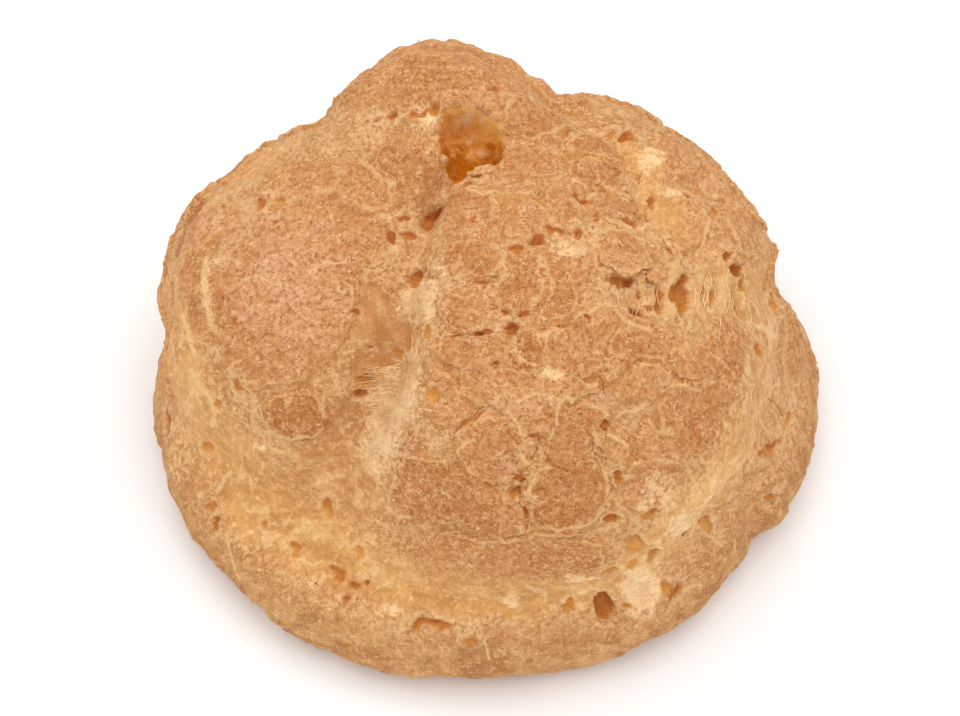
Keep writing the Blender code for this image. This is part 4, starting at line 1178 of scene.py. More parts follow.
def add_crust(material):
    """The whole bun: the ray grid's points, baked, and closed under the base by a fan to its middle."""
    rays = ray_grid(GRID_LINES)
    points = CORE + rays * reach(rays)[..., None]
    points, fields = baked(points, outward(points))
    shown = {name: fields[name].reshape(-1) for name in SHOWN_FIELDS}
    shown["hollow"] = fade(1.06, 0.9, fields["hole"]).reshape(-1)
    points = points.reshape(-1, 3)
    faces, loop = grid_faces(GRID_LINES)
    hub = len(points)
    fan = np.stack([np.roll(loop, -1), loop, np.full(len(loop), hub)], axis=-1)
    points = np.vstack([points, points[loop].mean(axis=0)])
    shown = {name: np.append(values, values[loop].mean()) for name, values in shown.items()}
    return add_piece("crust", points, faces.tolist() + fan.tolist(), material, shown)


def skin_faces(rows, columns):
    """Faces of a closed skin: rings joined row to row, and a fan to a hub at either end.

    The ring points come first, row by row, then the first hub and the last. Seen from the first hub's
    outside, the rings run against the clock.
    """
    index = np.arange(rows * columns).reshape(rows, columns)
    beside = np.roll(index, -1, axis=1)
    quads = np.stack([index[:-1], index[1:], beside[1:], beside[:-1]], axis=-1).reshape(-1, 4)
    first = np.stack([np.full(columns, rows * columns), index[0], beside[0]], axis=-1)
    last = np.stack([np.full(columns, rows * columns + 1), beside[-1], index[-1]], axis=-1)
    return quads, np.vstack([first, last])


def many_skins(rings, fields=()):
    """Points, faces and fields of many closed skins from their rings: skin, row, column, coordinate.

    Each hub is the mean of its end ring.
    """
    count, rows, columns = rings.shape[:3]
    hubs = np.stack([rings[:, 0].mean(axis=1), rings[:, -1].mean(axis=1)], axis=1)
    points = np.concatenate([rings.reshape(count, -1, 3), hubs], axis=1)
    quads, fans = skin_faces(rows, columns)
    first = (np.arange(count) * points.shape[1])[:, None, None]
    faces = (quads + first).reshape(-1, 4).tolist() + (fans + first).reshape(-1, 3).tolist()
    shown = {}
    for name, values in dict(fields).items():
        ends = np.stack([values[:, 0].mean(axis=1), values[:, -1].mean(axis=1)], axis=1)
        shown[name] = np.concatenate([values.reshape(count, -1), ends], axis=1).reshape(-1)
    return points.reshape(-1, 3), faces, shown


def add_flakes(material):
    """Plates that have come away from the crust: closed slabs with rounded, ragged rims.

    Around a slab's section the reach from its middle goes as the sine, and the height as the cosine,
    both flattened by a power. The slab follows the bun's form and stands off more and more towards
    its free side.
    """
    table = np.array(FLAKES)[:, :, None, None]
    across, up, half_across, half_up, lean, free, stand, thick, dark = np.moveaxis(table, 1, 0)
    section = np.linspace(0.0, np.pi, FLAKE_ROWS + 2)[1:-1][None, :, None]
    turn = np.linspace(0.0, 2.0 * np.pi, FLAKE_COLUMNS, endpoint=False)[None, None, :]
    out = np.sin(section) ** 0.55
    high = np.sign(np.cos(section)) * np.abs(np.cos(section)) ** 0.6
    number = np.arange(len(FLAKES))[:, None, None] * 7.0
    ring = np.stack(np.broadcast_arrays(1.6 * np.cos(turn), 1.6 * np.sin(turn), number), axis=-1)
    out = out * (1.0 + 0.30 * octaves(ring, 1.0, 4, 301)) + 0.0 * across
    angle = np.radians(lean)
    right = out * half_across * np.cos(turn)
    above = out * half_up * np.sin(turn)
    place = np.stack([
        across + right * np.cos(angle) - above * np.sin(angle),
        up + right * np.sin(angle) + above * np.cos(angle),
    ], axis=-1)
    points = landing(place.reshape(-1, 2))
    normals = outward(points)
    broad = swell(points) - hollows(points, normals) + 0.3 + 0.22 * octaves(points, 3.6, 2, 151)
    points = points + normals * broad[:, None]
    points, normals = points.reshape(*place.shape[:-1], 3), normals.reshape(*place.shape[:-1], 3)
    offset = place - np.stack([across, up], axis=-1)
    toward = np.cos(np.radians(free)) * offset[..., 0] + np.sin(np.radians(free)) * offset[..., 1]
    loose = fade(-0.7, 1.0, toward / np.maximum(half_across, half_up))
    relief = 0.10 * octaves(points, 1.1, 3, 141)
    raised = stand * loose ** 1.4 - 0.2 * (1.0 - loose) + thick * (0.5 * high + relief)
    rings = points + normals * raised[..., None]
    from_rim = (1.0 - out) * np.minimum(half_across, half_up)
    edge = np.where(high > 0.0, 0.12 + from_rim, -0.4) + 0.0 * out
    fields = {"edge": edge, "tone": dark + 0.0 * out, "rosy": 0.25 + 0.0 * out}
    points, faces, shown = many_skins(rings, fields)
    return add_piece("flakes", points, faces, material, shown)


def on_crust(place):
    """Points and outward directions of the baked crust at places on the face."""
    points = landing(place)
    normals = outward(points)
    return baked(points, normals)[0], normals


def add_strands(material):
    """Stretched strands of dough: closed tapered tubes that lie on the crust and bulge off it.

    A tube's centre runs straight on the face with a slow sideways wave, and stands off the crust by
    its height times the sine along it; its radius goes as a root of that sine.
    """
    chance = np.random.default_rng(STRAND_SEED)
    starts, ends, sizes, heights = [], [], [], []
    for count, start, end, scatter, size, height in STRANDS:
        shift = chance.uniform(-scatter, scatter, (count, 2))
        starts.append(np.array(start) + shift + chance.normal(0.0, 0.3, (count, 2)))
        ends.append(np.array(end) + shift + chance.normal(0.0, 0.4, (count, 2)))
        sizes.append(size * chance.uniform(0.6, 1.3, count))
        heights.append(height * chance.uniform(0.0, 0.9, count))
    start, end = np.concatenate(starts)[:, None, :], np.concatenate(ends)[:, None, :]
    size, height = np.concatenate(sizes)[:, None], np.concatenate(heights)[:, None]
    share = np.linspace(0.0, 1.0, STRAND_ROWS)[None, :]
    sideways = np.stack([start[..., 1] - end[..., 1], end[..., 0] - start[..., 0]], axis=-1)
    waves = share * chance.uniform(0.6, 1.4, size.shape) + chance.uniform(size=size.shape)
    wave = 0.06 * np.sin(2.0 * np.pi * waves)
    place = start + (end - start) * share[..., None] + sideways * wave[..., None]
    points, normals = on_crust(place.reshape(-1, 2))
    points, normals = points.reshape(*place.shape[:-1], 3), normals.reshape(*place.shape[:-1], 3)
    bulge = np.sin(np.pi * share)
    points = points + normals * (height * bulge + 0.02)[..., None]
    smooth = np.array([0.25, 0.5, 0.25])
    padded = np.concatenate([points[:, :1], points, points[:, -1:]], axis=1)
    points = sum(weight * padded[:, step:step + STRAND_ROWS] for step, weight in enumerate(smooth))
    along = np.gradient(points, axis=1)
    along /= np.linalg.norm(along, axis=-1, keepdims=True)
    beside = np.cross(normals, along)
    beside /= np.linalg.norm(beside, axis=-1, keepdims=True)
    upward = np.cross(along, beside)
    turn = np.linspace(0.0, 2.0 * np.pi, STRAND_COLUMNS, endpoint=False)[None, None, :, None]
    radius = (size * (0.25 + 0.75 * np.sqrt(bulge)))[..., None, None]
    ring = np.cos(turn) * upward[:, :, None] + np.sin(turn) * beside[:, :, None]
    points, faces, _ = many_skins(points[:, :, None] + radius * ring)
    return add_piece("strands", points, faces, material)


def add_crumbs(material):
    """Loose crumbs all over the crust: tiny closed lumps, half sunk in it.

    Each is a ball of a few faces whose radius varies by chance from point to point.
    """
    count, smallest, largest = CRUMBS
    chance = np.random.default_rng(CRUMB_SEED)
    rays = chance.normal(size=(6 * count, 3))
    rays /= np.linalg.norm(rays, axis=-1, keepdims=True)
    points = CORE + rays * reach(rays)[:, None]
    normals = outward(points)
    points, fields = baked(points, normals)
    fits = (points[:, 2] > 3.0) & (fields["wax"] < 0.5) & (fields["hole"] > 1.3) & (fields["pit"] < 0.2)
    near_seam = np.abs(fields["edge"]) < 0.7
    chosen = np.flatnonzero(fits & (near_seam | (chance.uniform(size=len(points)) < 0.25)))[:count]
    middles, normals = points[chosen], normals[chosen]
    sizes = smallest + (largest - smallest) * chance.uniform(size=len(chosen)) ** 2
    lean = np.linspace(0.0, np.pi, CRUMB_ROWS + 2)[1:-1][None, :, None]
    turn = np.linspace(0.0, 2.0 * np.pi, CRUMB_COLUMNS, endpoint=False)[None, None, :]
    sides = np.sin(lean) * np.cos(turn), np.sin(lean) * np.sin(turn), np.cos(lean)
    ball = np.stack(np.broadcast_arrays(*sides), axis=-1)
    uneven = chance.uniform(0.65, 1.3, (len(chosen), CRUMB_ROWS, CRUMB_COLUMNS))
    radius = (sizes[:, None, None] * uneven)[..., None]
    rings = (middles + normals * 0.02)[:, None, None] + ball * radius
    points, faces, _ = many_skins(rings)
    return add_piece("crumbs", points, faces, material)


# ----------------------------------------------------------
# Finishes
# ----------------------------------------------------------

def tint(red, green, blue):
    """A linear colour from the screen values of its red, green and blue, 0 to 255."""
    screen = np.array([red, green, blue]) / 255.0
    linear = np.where(screen <= 0.04045, screen / 12.92, ((screen + 0.055) / 1.055) ** 2.4)
    return (*linear.tolist(), 1.0)


class Wire:
    """A socket in a material's node tree, with Python's arithmetic on it."""

    def __init__(self, tree, socket=None):
        self.tree = tree
        self.socket = socket

    def node(self, kind, settings, inputs, output=0):
        """A node of a kind, its settings first, then its sockets' values or links; gives one output."""
        made = self.tree.nodes.new(kind)
        for name, value in settings.items():
            setattr(made, name, value)
        for key, value in inputs.items():
            if isinstance(value, Wire):
                self.tree.links.new(value.socket, made.inputs[key])
            else:
                made.inputs[key].default_value = value
        return Wire(self.tree, made.outputs[output])

    def maths(self, operation, *values):
        """A Math node of that operation."""
        return self.node("ShaderNodeMath", {"operation": operation}, dict(enumerate(values)))

    def __add__(self, other):
        return self.maths("ADD", self, other)

    def __sub__(self, other):
        return self.maths("SUBTRACT", self, other)

    def __rsub__(self, other):
        return self.maths("SUBTRACT", other, self)

    def __mul__(self, other):
        return self.maths("MULTIPLY", self, other)

    __radd__ = __add__
    __rmul__ = __mul__

    def ramp(self, low, high):
        """0 at low, 1 at high, smoothly; low may lie above high."""
        inputs = {"Value": self, "From Min": low, "From Max": high}
        return self.node("ShaderNodeMapRange", {"interpolation_type": "SMOOTHSTEP"}, inputs)

    def band(self, middle, half_width):
        """1 at the middle value, 0 from half a width away on."""
        return self.maths("ABSOLUTE", self - middle).ramp(half_width, 0.0)

    def blend(self, colour, other):
        """A Mix node of two colours, this value its factor."""
        inputs = {0: self, 6: colour, 7: other}
        return self.node("ShaderNodeMix", {"data_type": "RGBA"}, inputs, 2)

    def stretched(self, place, across, up, inward):
        """Coordinates in the leaning face's frame, each scaled: noise in them runs along small scales."""
        sides = []
        for direction, scale in ((FACE_ACROSS, across), (FACE_UP, up), (FACE, inward)):
            inputs = {0: place, 1: tuple(direction * scale)}
            sides.append(self.node("ShaderNodeVectorMath", {"operation": "DOT_PRODUCT"}, inputs, "Value"))
        return self.node("ShaderNodeCombineXYZ", {}, dict(enumerate(sides)))

    def field(self, name):
        """A field of the mesh, stored at its points."""
        return self.node("ShaderNodeAttribute", {"attribute_name": name}, {}, "Fac")

    def bent(self, place, size, far):
        """Coordinates pushed about, each by up to half as far (in millimetres), by noise of that size."""
        push = self.node("ShaderNodeTexNoise", {}, {"Vector": place, "Scale": 1.0 / (size * MM)}, "Color")
        return self.node(
            "ShaderNodeVectorMath", {"operation": "MULTIPLY_ADD"}, {0: push, 1: (far * MM,) * 3, 2: place})

    def chips(self, place, size):
        """Chips about this many millimetres wide, each of one value by chance, from 0 to 1."""
        inputs = {"Vector": place, "Scale": 1.0 / (size * MM)}
        return self.node("ShaderNodeTexVoronoi", {}, inputs, "Color")

    def noise(self, place, size, detail=2.0, roughness=0.5):
        """Noise whose blobs are about this many millimetres, from 0 to 1."""
        inputs = {"Vector": place, "Scale": 1.0 / (size * MM), "Detail": detail, "Roughness": roughness}
        return self.node("ShaderNodeTexNoise", {}, inputs)


def new_material(name):
    """An empty material: its wire, its shader node, and a function that links a value to a socket."""
    material = bpy.data.materials.new(name)
    material.use_nodes = True
    shader = material.node_tree.nodes["Principled BSDF"]

    def feed(socket, wire):
        material.node_tree.links.new(wire.socket, shader.inputs[socket])

    return material, Wire(material.node_tree), shader, feed


def crust_wires(wire):
    """Wires that the crust's colours and bumps share, by name.

    They are the stored fields, the noises, and the shares of stretched dough and of open dough. Strands
    run level in the banks and upright in film and gap.
    """
    crust = {name: wire.field(name) for name in (*SHOWN_FIELDS, "hollow")}
    place = wire.node("ShaderNodeTexCoord", {}, {}, "Object")
    crust["coarse"] = coarse = wire.noise(place, 2.2, 4.0, 0.6)
    crust["grain"] = grain = wire.noise(place, 0.55, 4.0, 0.65)
    crust["fine"] = wire.noise(place, 0.24, 3.0, 0.6)
    crust["grit"] = wire.noise(place, 0.16, 2.0, 0.6)
    crust["hue"] = wire.noise(place, 1.2, 3.0, 0.6)
    crust["patch"] = wire.noise(place, 7.0, 3.0)
    crust["layers"] = wire.noise(wire.stretched(place, 0.45, 1.3, 0.6), 1.6, 4.0, 0.6)
    crumpled = wire.bent(wire.bent(place, 2.0, 1.6), 0.5, 0.5)
    crust["chips"] = wire.chips(crumpled, 1.7) * 0.6 + wire.chips(crumpled, 0.8) * 0.4 - 0.5
    level_strands = wire.noise(wire.stretched(place, 0.3, 1.7, 0.6), 0.5, 4.0, 0.65)
    upright_strands = wire.noise(wire.stretched(place, 1.7, 0.25, 0.6), 0.55, 4.0, 0.65)
    level, upright = crust["level"], crust["upright"]
    crust["strands"] = level * (level_strands - 0.5) * 2.0 + upright * (upright_strands - 0.5) * 1.6
    crust["ragged"] = ragged = (grain - 0.5) * 1.3 + (coarse - 0.5) * 0.8
    wax, cream, gap, pale = picked(crust, "wax cream gap pale")
    crust["waxy"] = (wax + cream + gap * 0.8 + pale * 0.9 + ragged * 0.3).ramp(0.35, 0.85)
    crust["open_dough"] = wire.maths("MAXIMUM", crust["pit"], crust["hollow"])
    return crust


def plated_colour(look, crust):
    """The crust between the plates, then the plates, painted amber shade on the seams' steps, then their pale
    rims, then the foot.
    """
    edge, tone, foot, rosy, coarse, grain, hue = picked(crust, "edge tone foot rosy coarse grain hue")
    patch, layers, chips, ragged = picked(crust, "patch layers chips ragged")
    between = (grain * 0.6 + coarse * 0.4).ramp(0.4, 0.6)
    between = between.blend(look.between_colour, look.between_light_colour)
    light_plate = grain.ramp(0.38, 0.6).blend(look.plate_colour, look.plate_light_colour)
    dark_plate = grain.ramp(0.36, 0.62).blend(look.plate_dark_colour, look.plate_colour)
    darker = tone + (patch - 0.5) * 1.4 + (layers - 0.5) * 1.6 + (hue - 0.5) * 1.0
    darker = darker + (coarse - 0.5) * 0.8 + chips * 0.8
    plate = darker.ramp(-0.1, 1.1).blend(light_plate, dark_plate)
    flush = rosy * 0.8 + (coarse - 0.5) * 1.6 + (hue - 0.5) * 0.8
    plate = (flush.ramp(0.0, 0.9) * (0.8 - grain.ramp(0.5, 0.36) * 0.6)).blend(plate, look.rosy_colour)
    between = (flush.ramp(0.0, 0.8) * 0.6).blend(between, look.rosy_colour)
    colour = (edge + ragged).ramp(-0.1, 0.1).blend(between, plate)
    # Painted shade: the steps at the plate seams are tinted amber, for the warm shade where light scatters
    # through the crust
    slope = (edge + ragged * 0.4 + 0.08).band(0.0, 0.3) * (1.0 - foot)
    colour = (slope * 0.45).blend(colour, look.amber_colour)
    rim = (edge + ragged * 0.6).band(0.2, 0.26) * (1.0 - foot)
    rim = rim * (patch * 0.5 + coarse * 0.5).ramp(0.4, 0.56)
    colour = (rim * 0.75).blend(colour, look.rim_colour)
    mottle = (coarse - 0.5) * 1.0 + (patch - 0.5) * 1.4 + (layers - 0.5) * 1.2 + chips * 0.6
    foot_tone = mottle.ramp(-0.25, 0.02).blend(look.foot_dark_colour, look.foot_colour)
    colour = (foot * 0.75).blend(colour, foot_tone)
    lighter = (mottle + (hue - 0.5) * 0.6).ramp(0.02, 0.34)
    colour = (foot * lighter * 0.6).blend(colour, look.between_light_colour)
    return colour


def with_stretched_dough(look, crust, colour):
    """A colour with waxy dough and its folds, then painted shade over the film and recess, pale fibres and
    the banks' crumbs.
    """
    cream, pale, lip, streak, fold, dusk = picked(crust, "cream pale lip streak fold dusk")
    level, upright, gap, amber, web, ridge = picked(crust, "level upright gap amber web ridge")
    ridge_side, coarse, grain, fine, hue, patch = picked(crust, "ridge_side coarse grain fine hue patch")
    chips, strands, ragged, waxy = picked(crust, "chips strands ragged waxy")
    sheen = streak * 0.7 + strands * 0.5 + (patch - 0.5) * 2.0 + (hue - 0.5) * 0.8 + chips * 1.3
    dough_colour = sheen.ramp(-0.5, 0.15).blend(look.wax_dark_colour, look.wax_colour)
    dough_colour = sheen.ramp(0.1, 0.7).blend(dough_colour, look.wax_light_colour)
    # Painted shade in the crevice under the left lobe and in the recess, mixed with the film's own
    # translucent tone
    shade_and_film_tone = (streak * 0.8 + strands * 0.6 + (hue - 0.5) * 1.4).ramp(-0.4, 0.5)
    shade_and_film_colour = shade_and_film_tone.blend(look.shade_and_film_colour, look.shade_and_film_light_colour)
    dough_colour = (dusk + ragged * 0.15).ramp(0.3, 0.75).blend(dough_colour, shade_and_film_colour)
    golden = (patch * 0.5 + coarse * 0.5 + (hue - 0.5) * 0.5 + chips * 0.5).ramp(0.46, 0.7)
    golden = golden * (1.0 - dusk) * (1.0 - upright)
    dough_colour = (golden * (0.6 - pale * 0.5)).blend(dough_colour, look.gold_colour)
    dough_colour = (grain.ramp(0.48, 0.66) * 0.4).blend(dough_colour, look.wax_light_colour)
    dough_colour = (grain.ramp(0.45, 0.3) * 0.3).blend(dough_colour, look.plate_colour)
    dough_colour = (amber * 0.7).blend(dough_colour, look.amber_colour)
    dough_colour = (upright * 0.45).blend(dough_colour, look.between_colour)
    colour = (waxy * 0.92).blend(colour, dough_colour)
    crumbly = (grain - 0.5) * 1.6 + (hue - 0.5) * 1.4 + (fine - 0.5) * 0.8
    creamy = cream + gap * 0.12 + strands * 0.5 + streak * 0.3 + level * 0.3 + crumbly - amber
    cream_tone = (strands * 0.5 + crumbly * 0.6 + chips * 0.5).ramp(-0.45, 0.3)
    cream_tone = cream_tone.blend(look.between_light_colour, look.cream_colour)
    colour = (creamy.ramp(0.0, 0.95) * 0.92).blend(colour, cream_tone)
    colour = ((fold + ragged * 0.3).ramp(0.35, 0.8) * 0.45).blend(colour, look.cream_colour)
    colour = (lip * 0.35 * grain.ramp(0.3, 0.6)).blend(colour, look.cream_colour)
    chipped = (grain - 0.5) * 2.0 + (fine - 0.5) * 1.8
    pale_line = (ridge_side + chipped).band(0.0, 2.0) * (ridge + ragged * 0.4).ramp(0.1, 0.55)
    colour = (pale_line * 0.9).blend(colour, look.rim_colour)
    colour = ((web * 2.4 + ragged * 0.3).ramp(0.15, 0.9) * 0.7).blend(colour, look.wax_light_colour)
    return colour


def with_open_dough(look, crust, colour):
    """A colour with the amber dough of pits and torn hole, and its painted shade, light and glints."""
    pit, light, hollow, wet, above, coarse = picked(crust, "pit light hollow wet above coarse")
    grain, fine, hue, ragged = picked(crust, "grain fine hue ragged")
    light = light + (grain - 0.5) * 0.5
    # Pits run from umber at the top to light amber at the bottom: painted shade and painted light over each
    # pit's own tone
    pit_tone = light.ramp(0.0, 0.5).blend(look.umber_colour, look.amber_colour)
    pit_tone = light.ramp(0.45, 1.05).blend(pit_tone, look.amber_light_colour)
    colour = ((pit + ragged * 0.3 + (fine - 0.5) * 0.6).ramp(0.3, 0.75) * 0.9).blend(colour, pit_tone)
    # Painted light and shade: the hole's dough is lighter up its walls and darker amber low down
    inside = above + (coarse - 0.5) * 1.6 + (hue - 0.5) * 1.6
    hole_tone = inside.ramp(0.0, 1.0).blend(look.hole_amber_and_shade_colour, look.hole_painted_light_colour)
    hole_tone = ((hue + (grain - 0.5) * 0.8).ramp(0.54, 0.7) * 0.3).blend(hole_tone, look.cream_colour)
    # Painted highlights: glints on the hole's wet dough, in the pale dough's colour
    hole_tone = wet.blend(hole_tone, look.cream_colour)
    colour = hollow.ramp(0.3, 0.6).blend(colour, hole_tone)
    return colour


def with_pores(look, crust, colour):
    """A colour with dark pores, specks and cracks and with light crumbs; also the pores and specks."""
    edge, split, crack, crack_side, grain, fine = picked(crust, "edge split crack crack_side grain fine")
    grit, hue, patch, ragged, waxy, open_dough = picked(crust, "grit hue patch ragged waxy open_dough")
    pores = fine.ramp(0.42, 0.34) * (edge + 0.25 + ragged * 0.6).band(0.0, 0.4)
    pores = pores * (hue + patch - 0.5).ramp(0.42, 0.6)
    specks = (fine + (grain - 0.5) * 0.5).ramp(0.39, 0.29) * (1.0 - waxy * 0.8)
    thin = split * (grain + (hue - 0.5)).ramp(0.6, 0.42) * (1.0 - waxy * 0.85)
    colour = (pores * 0.4).blend(colour, look.pore_colour)
    colour = (specks * 0.3).blend(colour, look.pore_colour)
    colour = (thin * 0.4).blend(colour, look.pore_colour)
    wander = (fine - 0.5) * 2.4 + (grain - 0.5) * 1.2
    broken = (crack + (hue - 0.5) * 2.0 + ragged * 0.3).ramp(0.4, 0.75)
    open_line = (crack_side + wander).band(0.0, 1.3) * broken
    colour = (open_line * 0.7).blend(colour, look.pore_colour)
    dots = fine.ramp(0.45, 0.36) * crack_side.band(0.0, 5.0) * crack
    colour = (dots * 0.8).blend(colour, look.pore_colour)
    colour = (grit.ramp(0.5, 0.36) * (0.34 - waxy * 0.16)).blend(colour, look.grit_colour)
    crumbs = (fine * 0.6 + grit * 0.4 + (hue - 0.5) * 0.4).ramp(0.54, 0.64) * (1.0 - open_dough)
    colour = (crumbs * (0.6 - waxy * 0.2)).blend(colour, look.rim_colour)
    return colour, pores, specks


def crust_material(look):
    """Baked choux: brown granular plates with pale rims, pinkish crust between them, wax and amber."""
    material, wire, shader, feed = new_material("baked_choux")
    crust = crust_wires(wire)
    colour = plated_colour(look, crust)
    colour = with_stretched_dough(look, crust, colour)
    colour = with_open_dough(look, crust, colour)
    colour, pores, specks = with_pores(look, crust, colour)
    feed("Base Color", colour)
    coarse, grain, fine, chips, strands = picked(crust, "coarse grain fine chips strands")
    waxy, open_dough = picked(crust, "waxy open_dough")
    feed("Roughness", 0.72 - waxy * 0.2 - open_dough * 0.3)
    height = grain * 0.7 + fine * 0.4 + coarse * 0.4 - pores * 0.3 - specks * 0.25
    strength = 1.0 - wire.maths("MAXIMUM", waxy * 0.5, open_dough * 0.5)
    height = height * strength + strands * 0.5 + chips * 0.3
    inputs = {"Strength": 0.8, "Distance": 0.5 * MM, "Height": height}
    feed("Normal", wire.node("ShaderNodeBump", {}, inputs))
    shader.subsurface_method = "BURLEY"
    shader.inputs["Subsurface Weight"].default_value = 0.3
    shader.inputs["Subsurface Radius"].default_value = (1.0, 0.45, 0.18)
    shader.inputs["Subsurface Scale"].default_value = 0.7 * MM
    shader.inputs["IOR"].default_value = 1.42
    shader.inputs["Specular IOR Level"].default_value = 0.22
    return material


def fibre_material(name, colour, light_colour):
    """Plain dough of strands and crumbs: two tones mixed by noise."""
    material, wire, shader, feed = new_material(name)
    place = wire.node("ShaderNodeTexCoord", {}, {}, "Object")
    grain = wire.noise(place, 0.9, 3.0, 0.6)
    feed("Base Color", grain.ramp(0.35, 0.62).blend(colour, light_colour))
    shader.inputs["Roughness"].default_value = 0.55
    shader.inputs["IOR"].default_value = 1.42
    shader.inputs["Specular IOR Level"].default_value = 0.25
    return material


def floor_material():
    """Plain pale floor."""
    material, _, shader, _ = new_material("pale_floor")
    shader.inputs["Base Color"].default_value = (0.99, 0.99, 0.99, 1.0)
    shader.inputs["Roughness"].default_value = 0.9
    return material


# ----------------------------------------------------------
# Settings, operators and panel
# ----------------------------------------------------------

def colour_setting(name, description, red, green, blue):
    """A colour that the user can change."""
    return bpy.props.FloatVectorProperty(
        name=name, description=description, subtype="COLOR", size=4, min=0.0, max=1.0,
        default=tint(red, green, blue))


class CrustLook(bpy.types.PropertyGroup):
    """Colours of the baked crust."""

    plate_colour: colour_setting("Plates", "Brown of the crust's plates", 206, 140, 82)
    plate_light_colour: colour_setting("Plates, light", "Lightest tan of the plates", 228, 168, 112)
    plate_dark_colour: colour_setting("Plates, dark", "Darkest brown of the plates", 184, 111, 58)
    between_colour: colour_setting("Between plates", "Crust between the plates", 206, 146, 90)
    between_light_colour: colour_setting("Between, light", "Its lighter patches", 230, 178, 122)
    foot_colour: colour_setting("Foot", "Tan of the low rim", 206, 150, 92)
    foot_dark_colour: colour_setting("Foot, dark", "Brown patches of the low rim", 182, 120, 66)
    grit_colour: colour_setting("Grit", "Fine brown grit all over", 174, 106, 50)
    rim_colour: colour_setting("Rims", "Pale rims of the plates and loose crumbs", 240, 194, 134)
    rosy_colour: colour_setting("Rosy crust", "Pinkish patches of the plates", 234, 178, 140)
    wax_dark_colour: colour_setting("Waxy dough, dark", "Darkest stretched dough", 204, 144, 80)
    wax_colour: colour_setting("Waxy dough", "Yellow stretched dough", 220, 162, 94)
    wax_light_colour: colour_setting("Waxy dough, light", "Its lighter patches", 234, 188, 124)
    gold_colour: colour_setting("Waxy dough, golden", "Golden patches of the stretched dough", 230, 168, 88)
    # Painted shade of the crevice and the recess, over the translucent film, and its lighter folds
    shade_and_film_colour: colour_setting("Film, dark", "Translucent dough in the crevice and the recess", 196, 132, 74)
    shade_and_film_light_colour: colour_setting("Film, light", "Its lighter folds", 226, 172, 116)
    cream_colour: colour_setting("Pale dough", "Palest stretched fibres", 255, 218, 168)
    # The torn hole's two colours carry painted shade low in the hole and painted light up its walls
    hole_amber_and_shade_colour: colour_setting("Torn hole", "Glossy dough low in the torn hole", 206, 120, 0)
    hole_painted_light_colour: colour_setting("Torn hole, light", "Dough of the upper walls", 252, 192, 104)
    # Pits run from umber at the top to light amber at the bottom, painted shade and light over each pit's own
    # tone; amber also tints the seams' steps as painted shade
    umber_colour: colour_setting("Pits, dark", "Reddish brown of the darkest pits", 180, 94, 34)
    amber_colour: colour_setting("Amber", "Glossy dough in pits", 206, 128, 48)
    amber_light_colour: colour_setting("Amber, light", "Its lighter patches", 224, 158, 72)
    pore_colour: colour_setting("Pores", "Dark pores, cracks and specks", 168, 88, 20)


# Stage, in metres: the floor's half width and how far it lies under the bun, where the camera aims,
# its sensor's width in millimetres, and where the main light hangs and how wide it is
FLOOR_HALF = 1.6
FLOOR_DROP = 0.0002
CAMERA_AIM = (-0.0006, 0.0, 0.0126)
SENSOR_WIDTH = 36.0
MAIN_LIGHT_PLACE = (0.0, 0.04, 0.77)
MAIN_LIGHT_SIZE = 0.8


class StageLook(bpy.types.PropertyGroup):
    """Sizes and light of the stage."""

    lens: bpy.props.FloatProperty(
        name="Lens", description="Focal length of the camera, in millimetres", default=150.0, min=20.0)
    height_angle: bpy.props.FloatProperty(
        name="Height angle", description="How steeply the camera looks down", default=np.radians(62.0),
        subtype="ANGLE")
    distance: bpy.props.FloatProperty(
        name="Distance", description="From the camera to the bun", default=0.484, subtype="DISTANCE",
        unit="LENGTH")
    light: bpy.props.FloatProperty(
        name="Light", description="Strength of the soft main light", default=2.79, min=0.0)
    fill: bpy.props.FloatProperty(
        name="Fill", description="Strength of the pale surroundings", default=0.85, min=0.0)


def add_camera(look):
    """Camera in front of the bun, looking down on it."""
    data = bpy.data.cameras.new("camera")
    data.lens = look.lens
    data.sensor_width = SENSOR_WIDTH
    camera = bpy.data.objects.new("camera", data)
    bpy.context.scene.collection.objects.link(camera)
    back = Vector((0.0, -np.cos(look.height_angle), np.sin(look.height_angle)))
    camera.location = Vector(CAMERA_AIM) + back * look.distance
    camera.rotation_euler = back.to_track_quat("Z", "Y").to_euler()
    bpy.context.scene.camera = camera


def add_area_light(name, place, size, power):
    """A square soft light that faces the bun."""
    data = bpy.data.lights.new(name, "AREA")
    data.shape = "SQUARE"
    data.size = size
    data.energy = power
    light = bpy.data.objects.new(name, data)
    light.location = place
    light.rotation_euler = Vector(place).to_track_quat("Z", "Y").to_euler()
    bpy.context.scene.collection.objects.link(light)


class PUFF_OT_crust(bpy.types.Operator):
    """Add the bun's crust, with its plates, cracks, pits and torn hole"""

    bl_idname = "puff.crust"
    bl_label = "Crust"

    def execute(self, context):
        material = crust_material(context.scene.puff_crust)
        crust = add_crust(material)
        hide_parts(NODE)
        return {"FINISHED"}


class PUFF_OT_flakes(bpy.types.Operator):
    """Add the plates that have come away from the crust"""

    bl_idname = "puff.flakes"
    bl_label = "Flakes"

    def execute(self, context):
        material = bpy.data.materials.get("baked_choux") or crust_material(context.scene.puff_crust)
        add_flakes(material)
        return {"FINISHED"}


class PUFF_OT_strands(bpy.types.Operator):
    """Add the stretched strands of dough in the crevice, the gap and a torn seam"""

    bl_idname = "puff.strands"
    bl_label = "Strands"

    def execute(self, context):
        look = context.scene.puff_crust
        add_strands(fibre_material("stretched_dough", look.wax_light_colour, look.cream_colour))
        return {"FINISHED"}


class PUFF_OT_crumbs(bpy.types.Operator):
    """Add the loose crumbs on the crust"""

    bl_idname = "puff.crumbs"
    bl_label = "Crumbs"

    def execute(self, context):
        look = context.scene.puff_crust
        add_crumbs(fibre_material("loose_crumb", look.plate_light_colour, look.rim_colour))
        return {"FINISHED"}


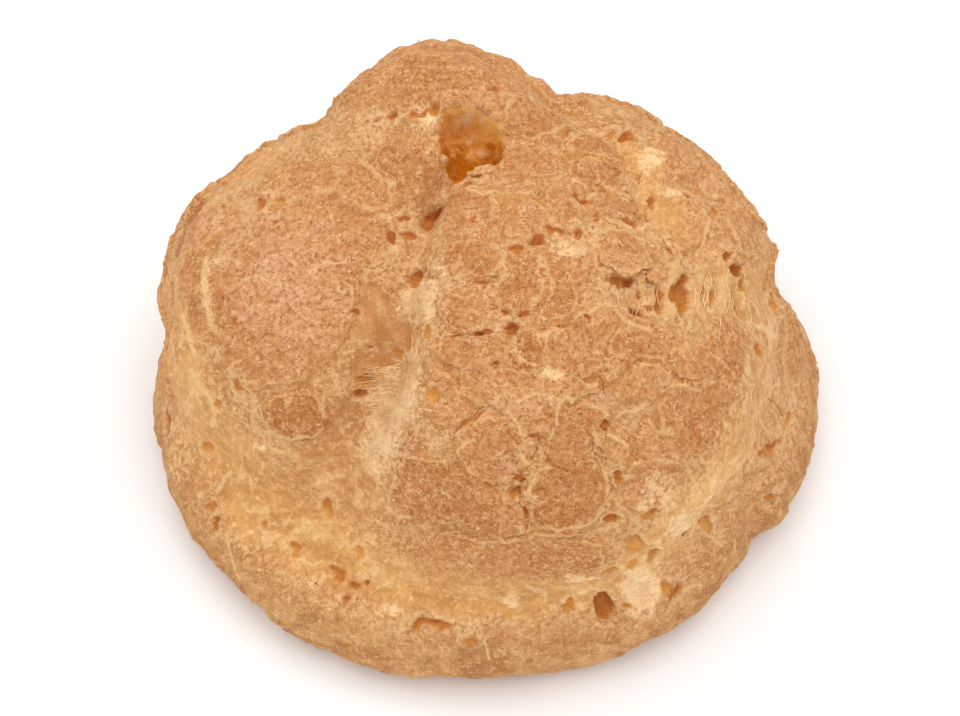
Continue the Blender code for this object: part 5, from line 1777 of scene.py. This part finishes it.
class PUFF_OT_stage(bpy.types.Operator):
    """Add the pale floor, the soft light, the camera and the pale surroundings"""

    bl_idname = "puff.stage"
    bl_label = "Stage"

    def execute(self, context):
        look = context.scene.puff_stage
        sides = ((-1, -1), (1, -1), (1, 1), (-1, 1))
        corners = [(FLOOR_HALF * x, FLOOR_HALF * y, -FLOOR_DROP) for x, y in sides]
        mesh = bpy.data.meshes.new("floor")
        mesh.from_pydata(corners, [], [(0, 1, 2, 3)])
        mesh.materials.append(floor_material())
        floor = bpy.data.objects.new("floor", mesh)
        context.scene.collection.objects.link(floor)
        add_area_light("main_light", MAIN_LIGHT_PLACE, MAIN_LIGHT_SIZE, look.light)
        add_camera(look)
        world = bpy.data.worlds.new("pale_room")
        world.use_nodes = True
        background = world.node_tree.nodes["Background"]
        background.inputs["Color"].default_value = (1.0, 1.0, 1.0, 1.0)
        background.inputs["Strength"].default_value = look.fill
        context.scene.world = world
        context.scene.view_settings.view_transform = "Standard"
        return {"FINISHED"}


class PUFF_PT_panel(bpy.types.Panel):
    """Cream puff's pieces"""

    bl_label = "Cream puff"
    bl_space_type = "VIEW_3D"
    bl_region_type = "UI"
    bl_category = "Cream puff"

    def draw(self, context):
        for operator in OPERATORS:
            self.layout.operator(operator.bl_idname)
        for settings in (context.scene.puff_crust, context.scene.puff_stage):
            for name in settings.__annotations__:
                self.layout.prop(settings, name)


OPERATORS = (PUFF_OT_crust, PUFF_OT_flakes, PUFF_OT_strands, PUFF_OT_crumbs, PUFF_OT_stage)
CLASSES = (CrustLook, StageLook, *OPERATORS, PUFF_PT_panel)


def register():
    """Register the classes and hang the settings on the scene."""
    for cls in CLASSES:
        bpy.utils.register_class(cls)
    bpy.types.Scene.puff_crust = bpy.props.PointerProperty(type=CrustLook)
    bpy.types.Scene.puff_stage = bpy.props.PointerProperty(type=StageLook)


def unregister():
    """Take the settings off the scene and the classes away."""
    del bpy.types.Scene.puff_stage
    del bpy.types.Scene.puff_crust
    for cls in reversed(CLASSES):
        bpy.utils.unregister_class(cls)


def main():
    """Build the bun and the stage."""
    register()
    bpy.ops.puff.crust()
    bpy.ops.puff.flakes()
    bpy.ops.puff.strands()
    bpy.ops.puff.crumbs()
    bpy.ops.puff.stage()


if __name__ == "__main__":
    main()
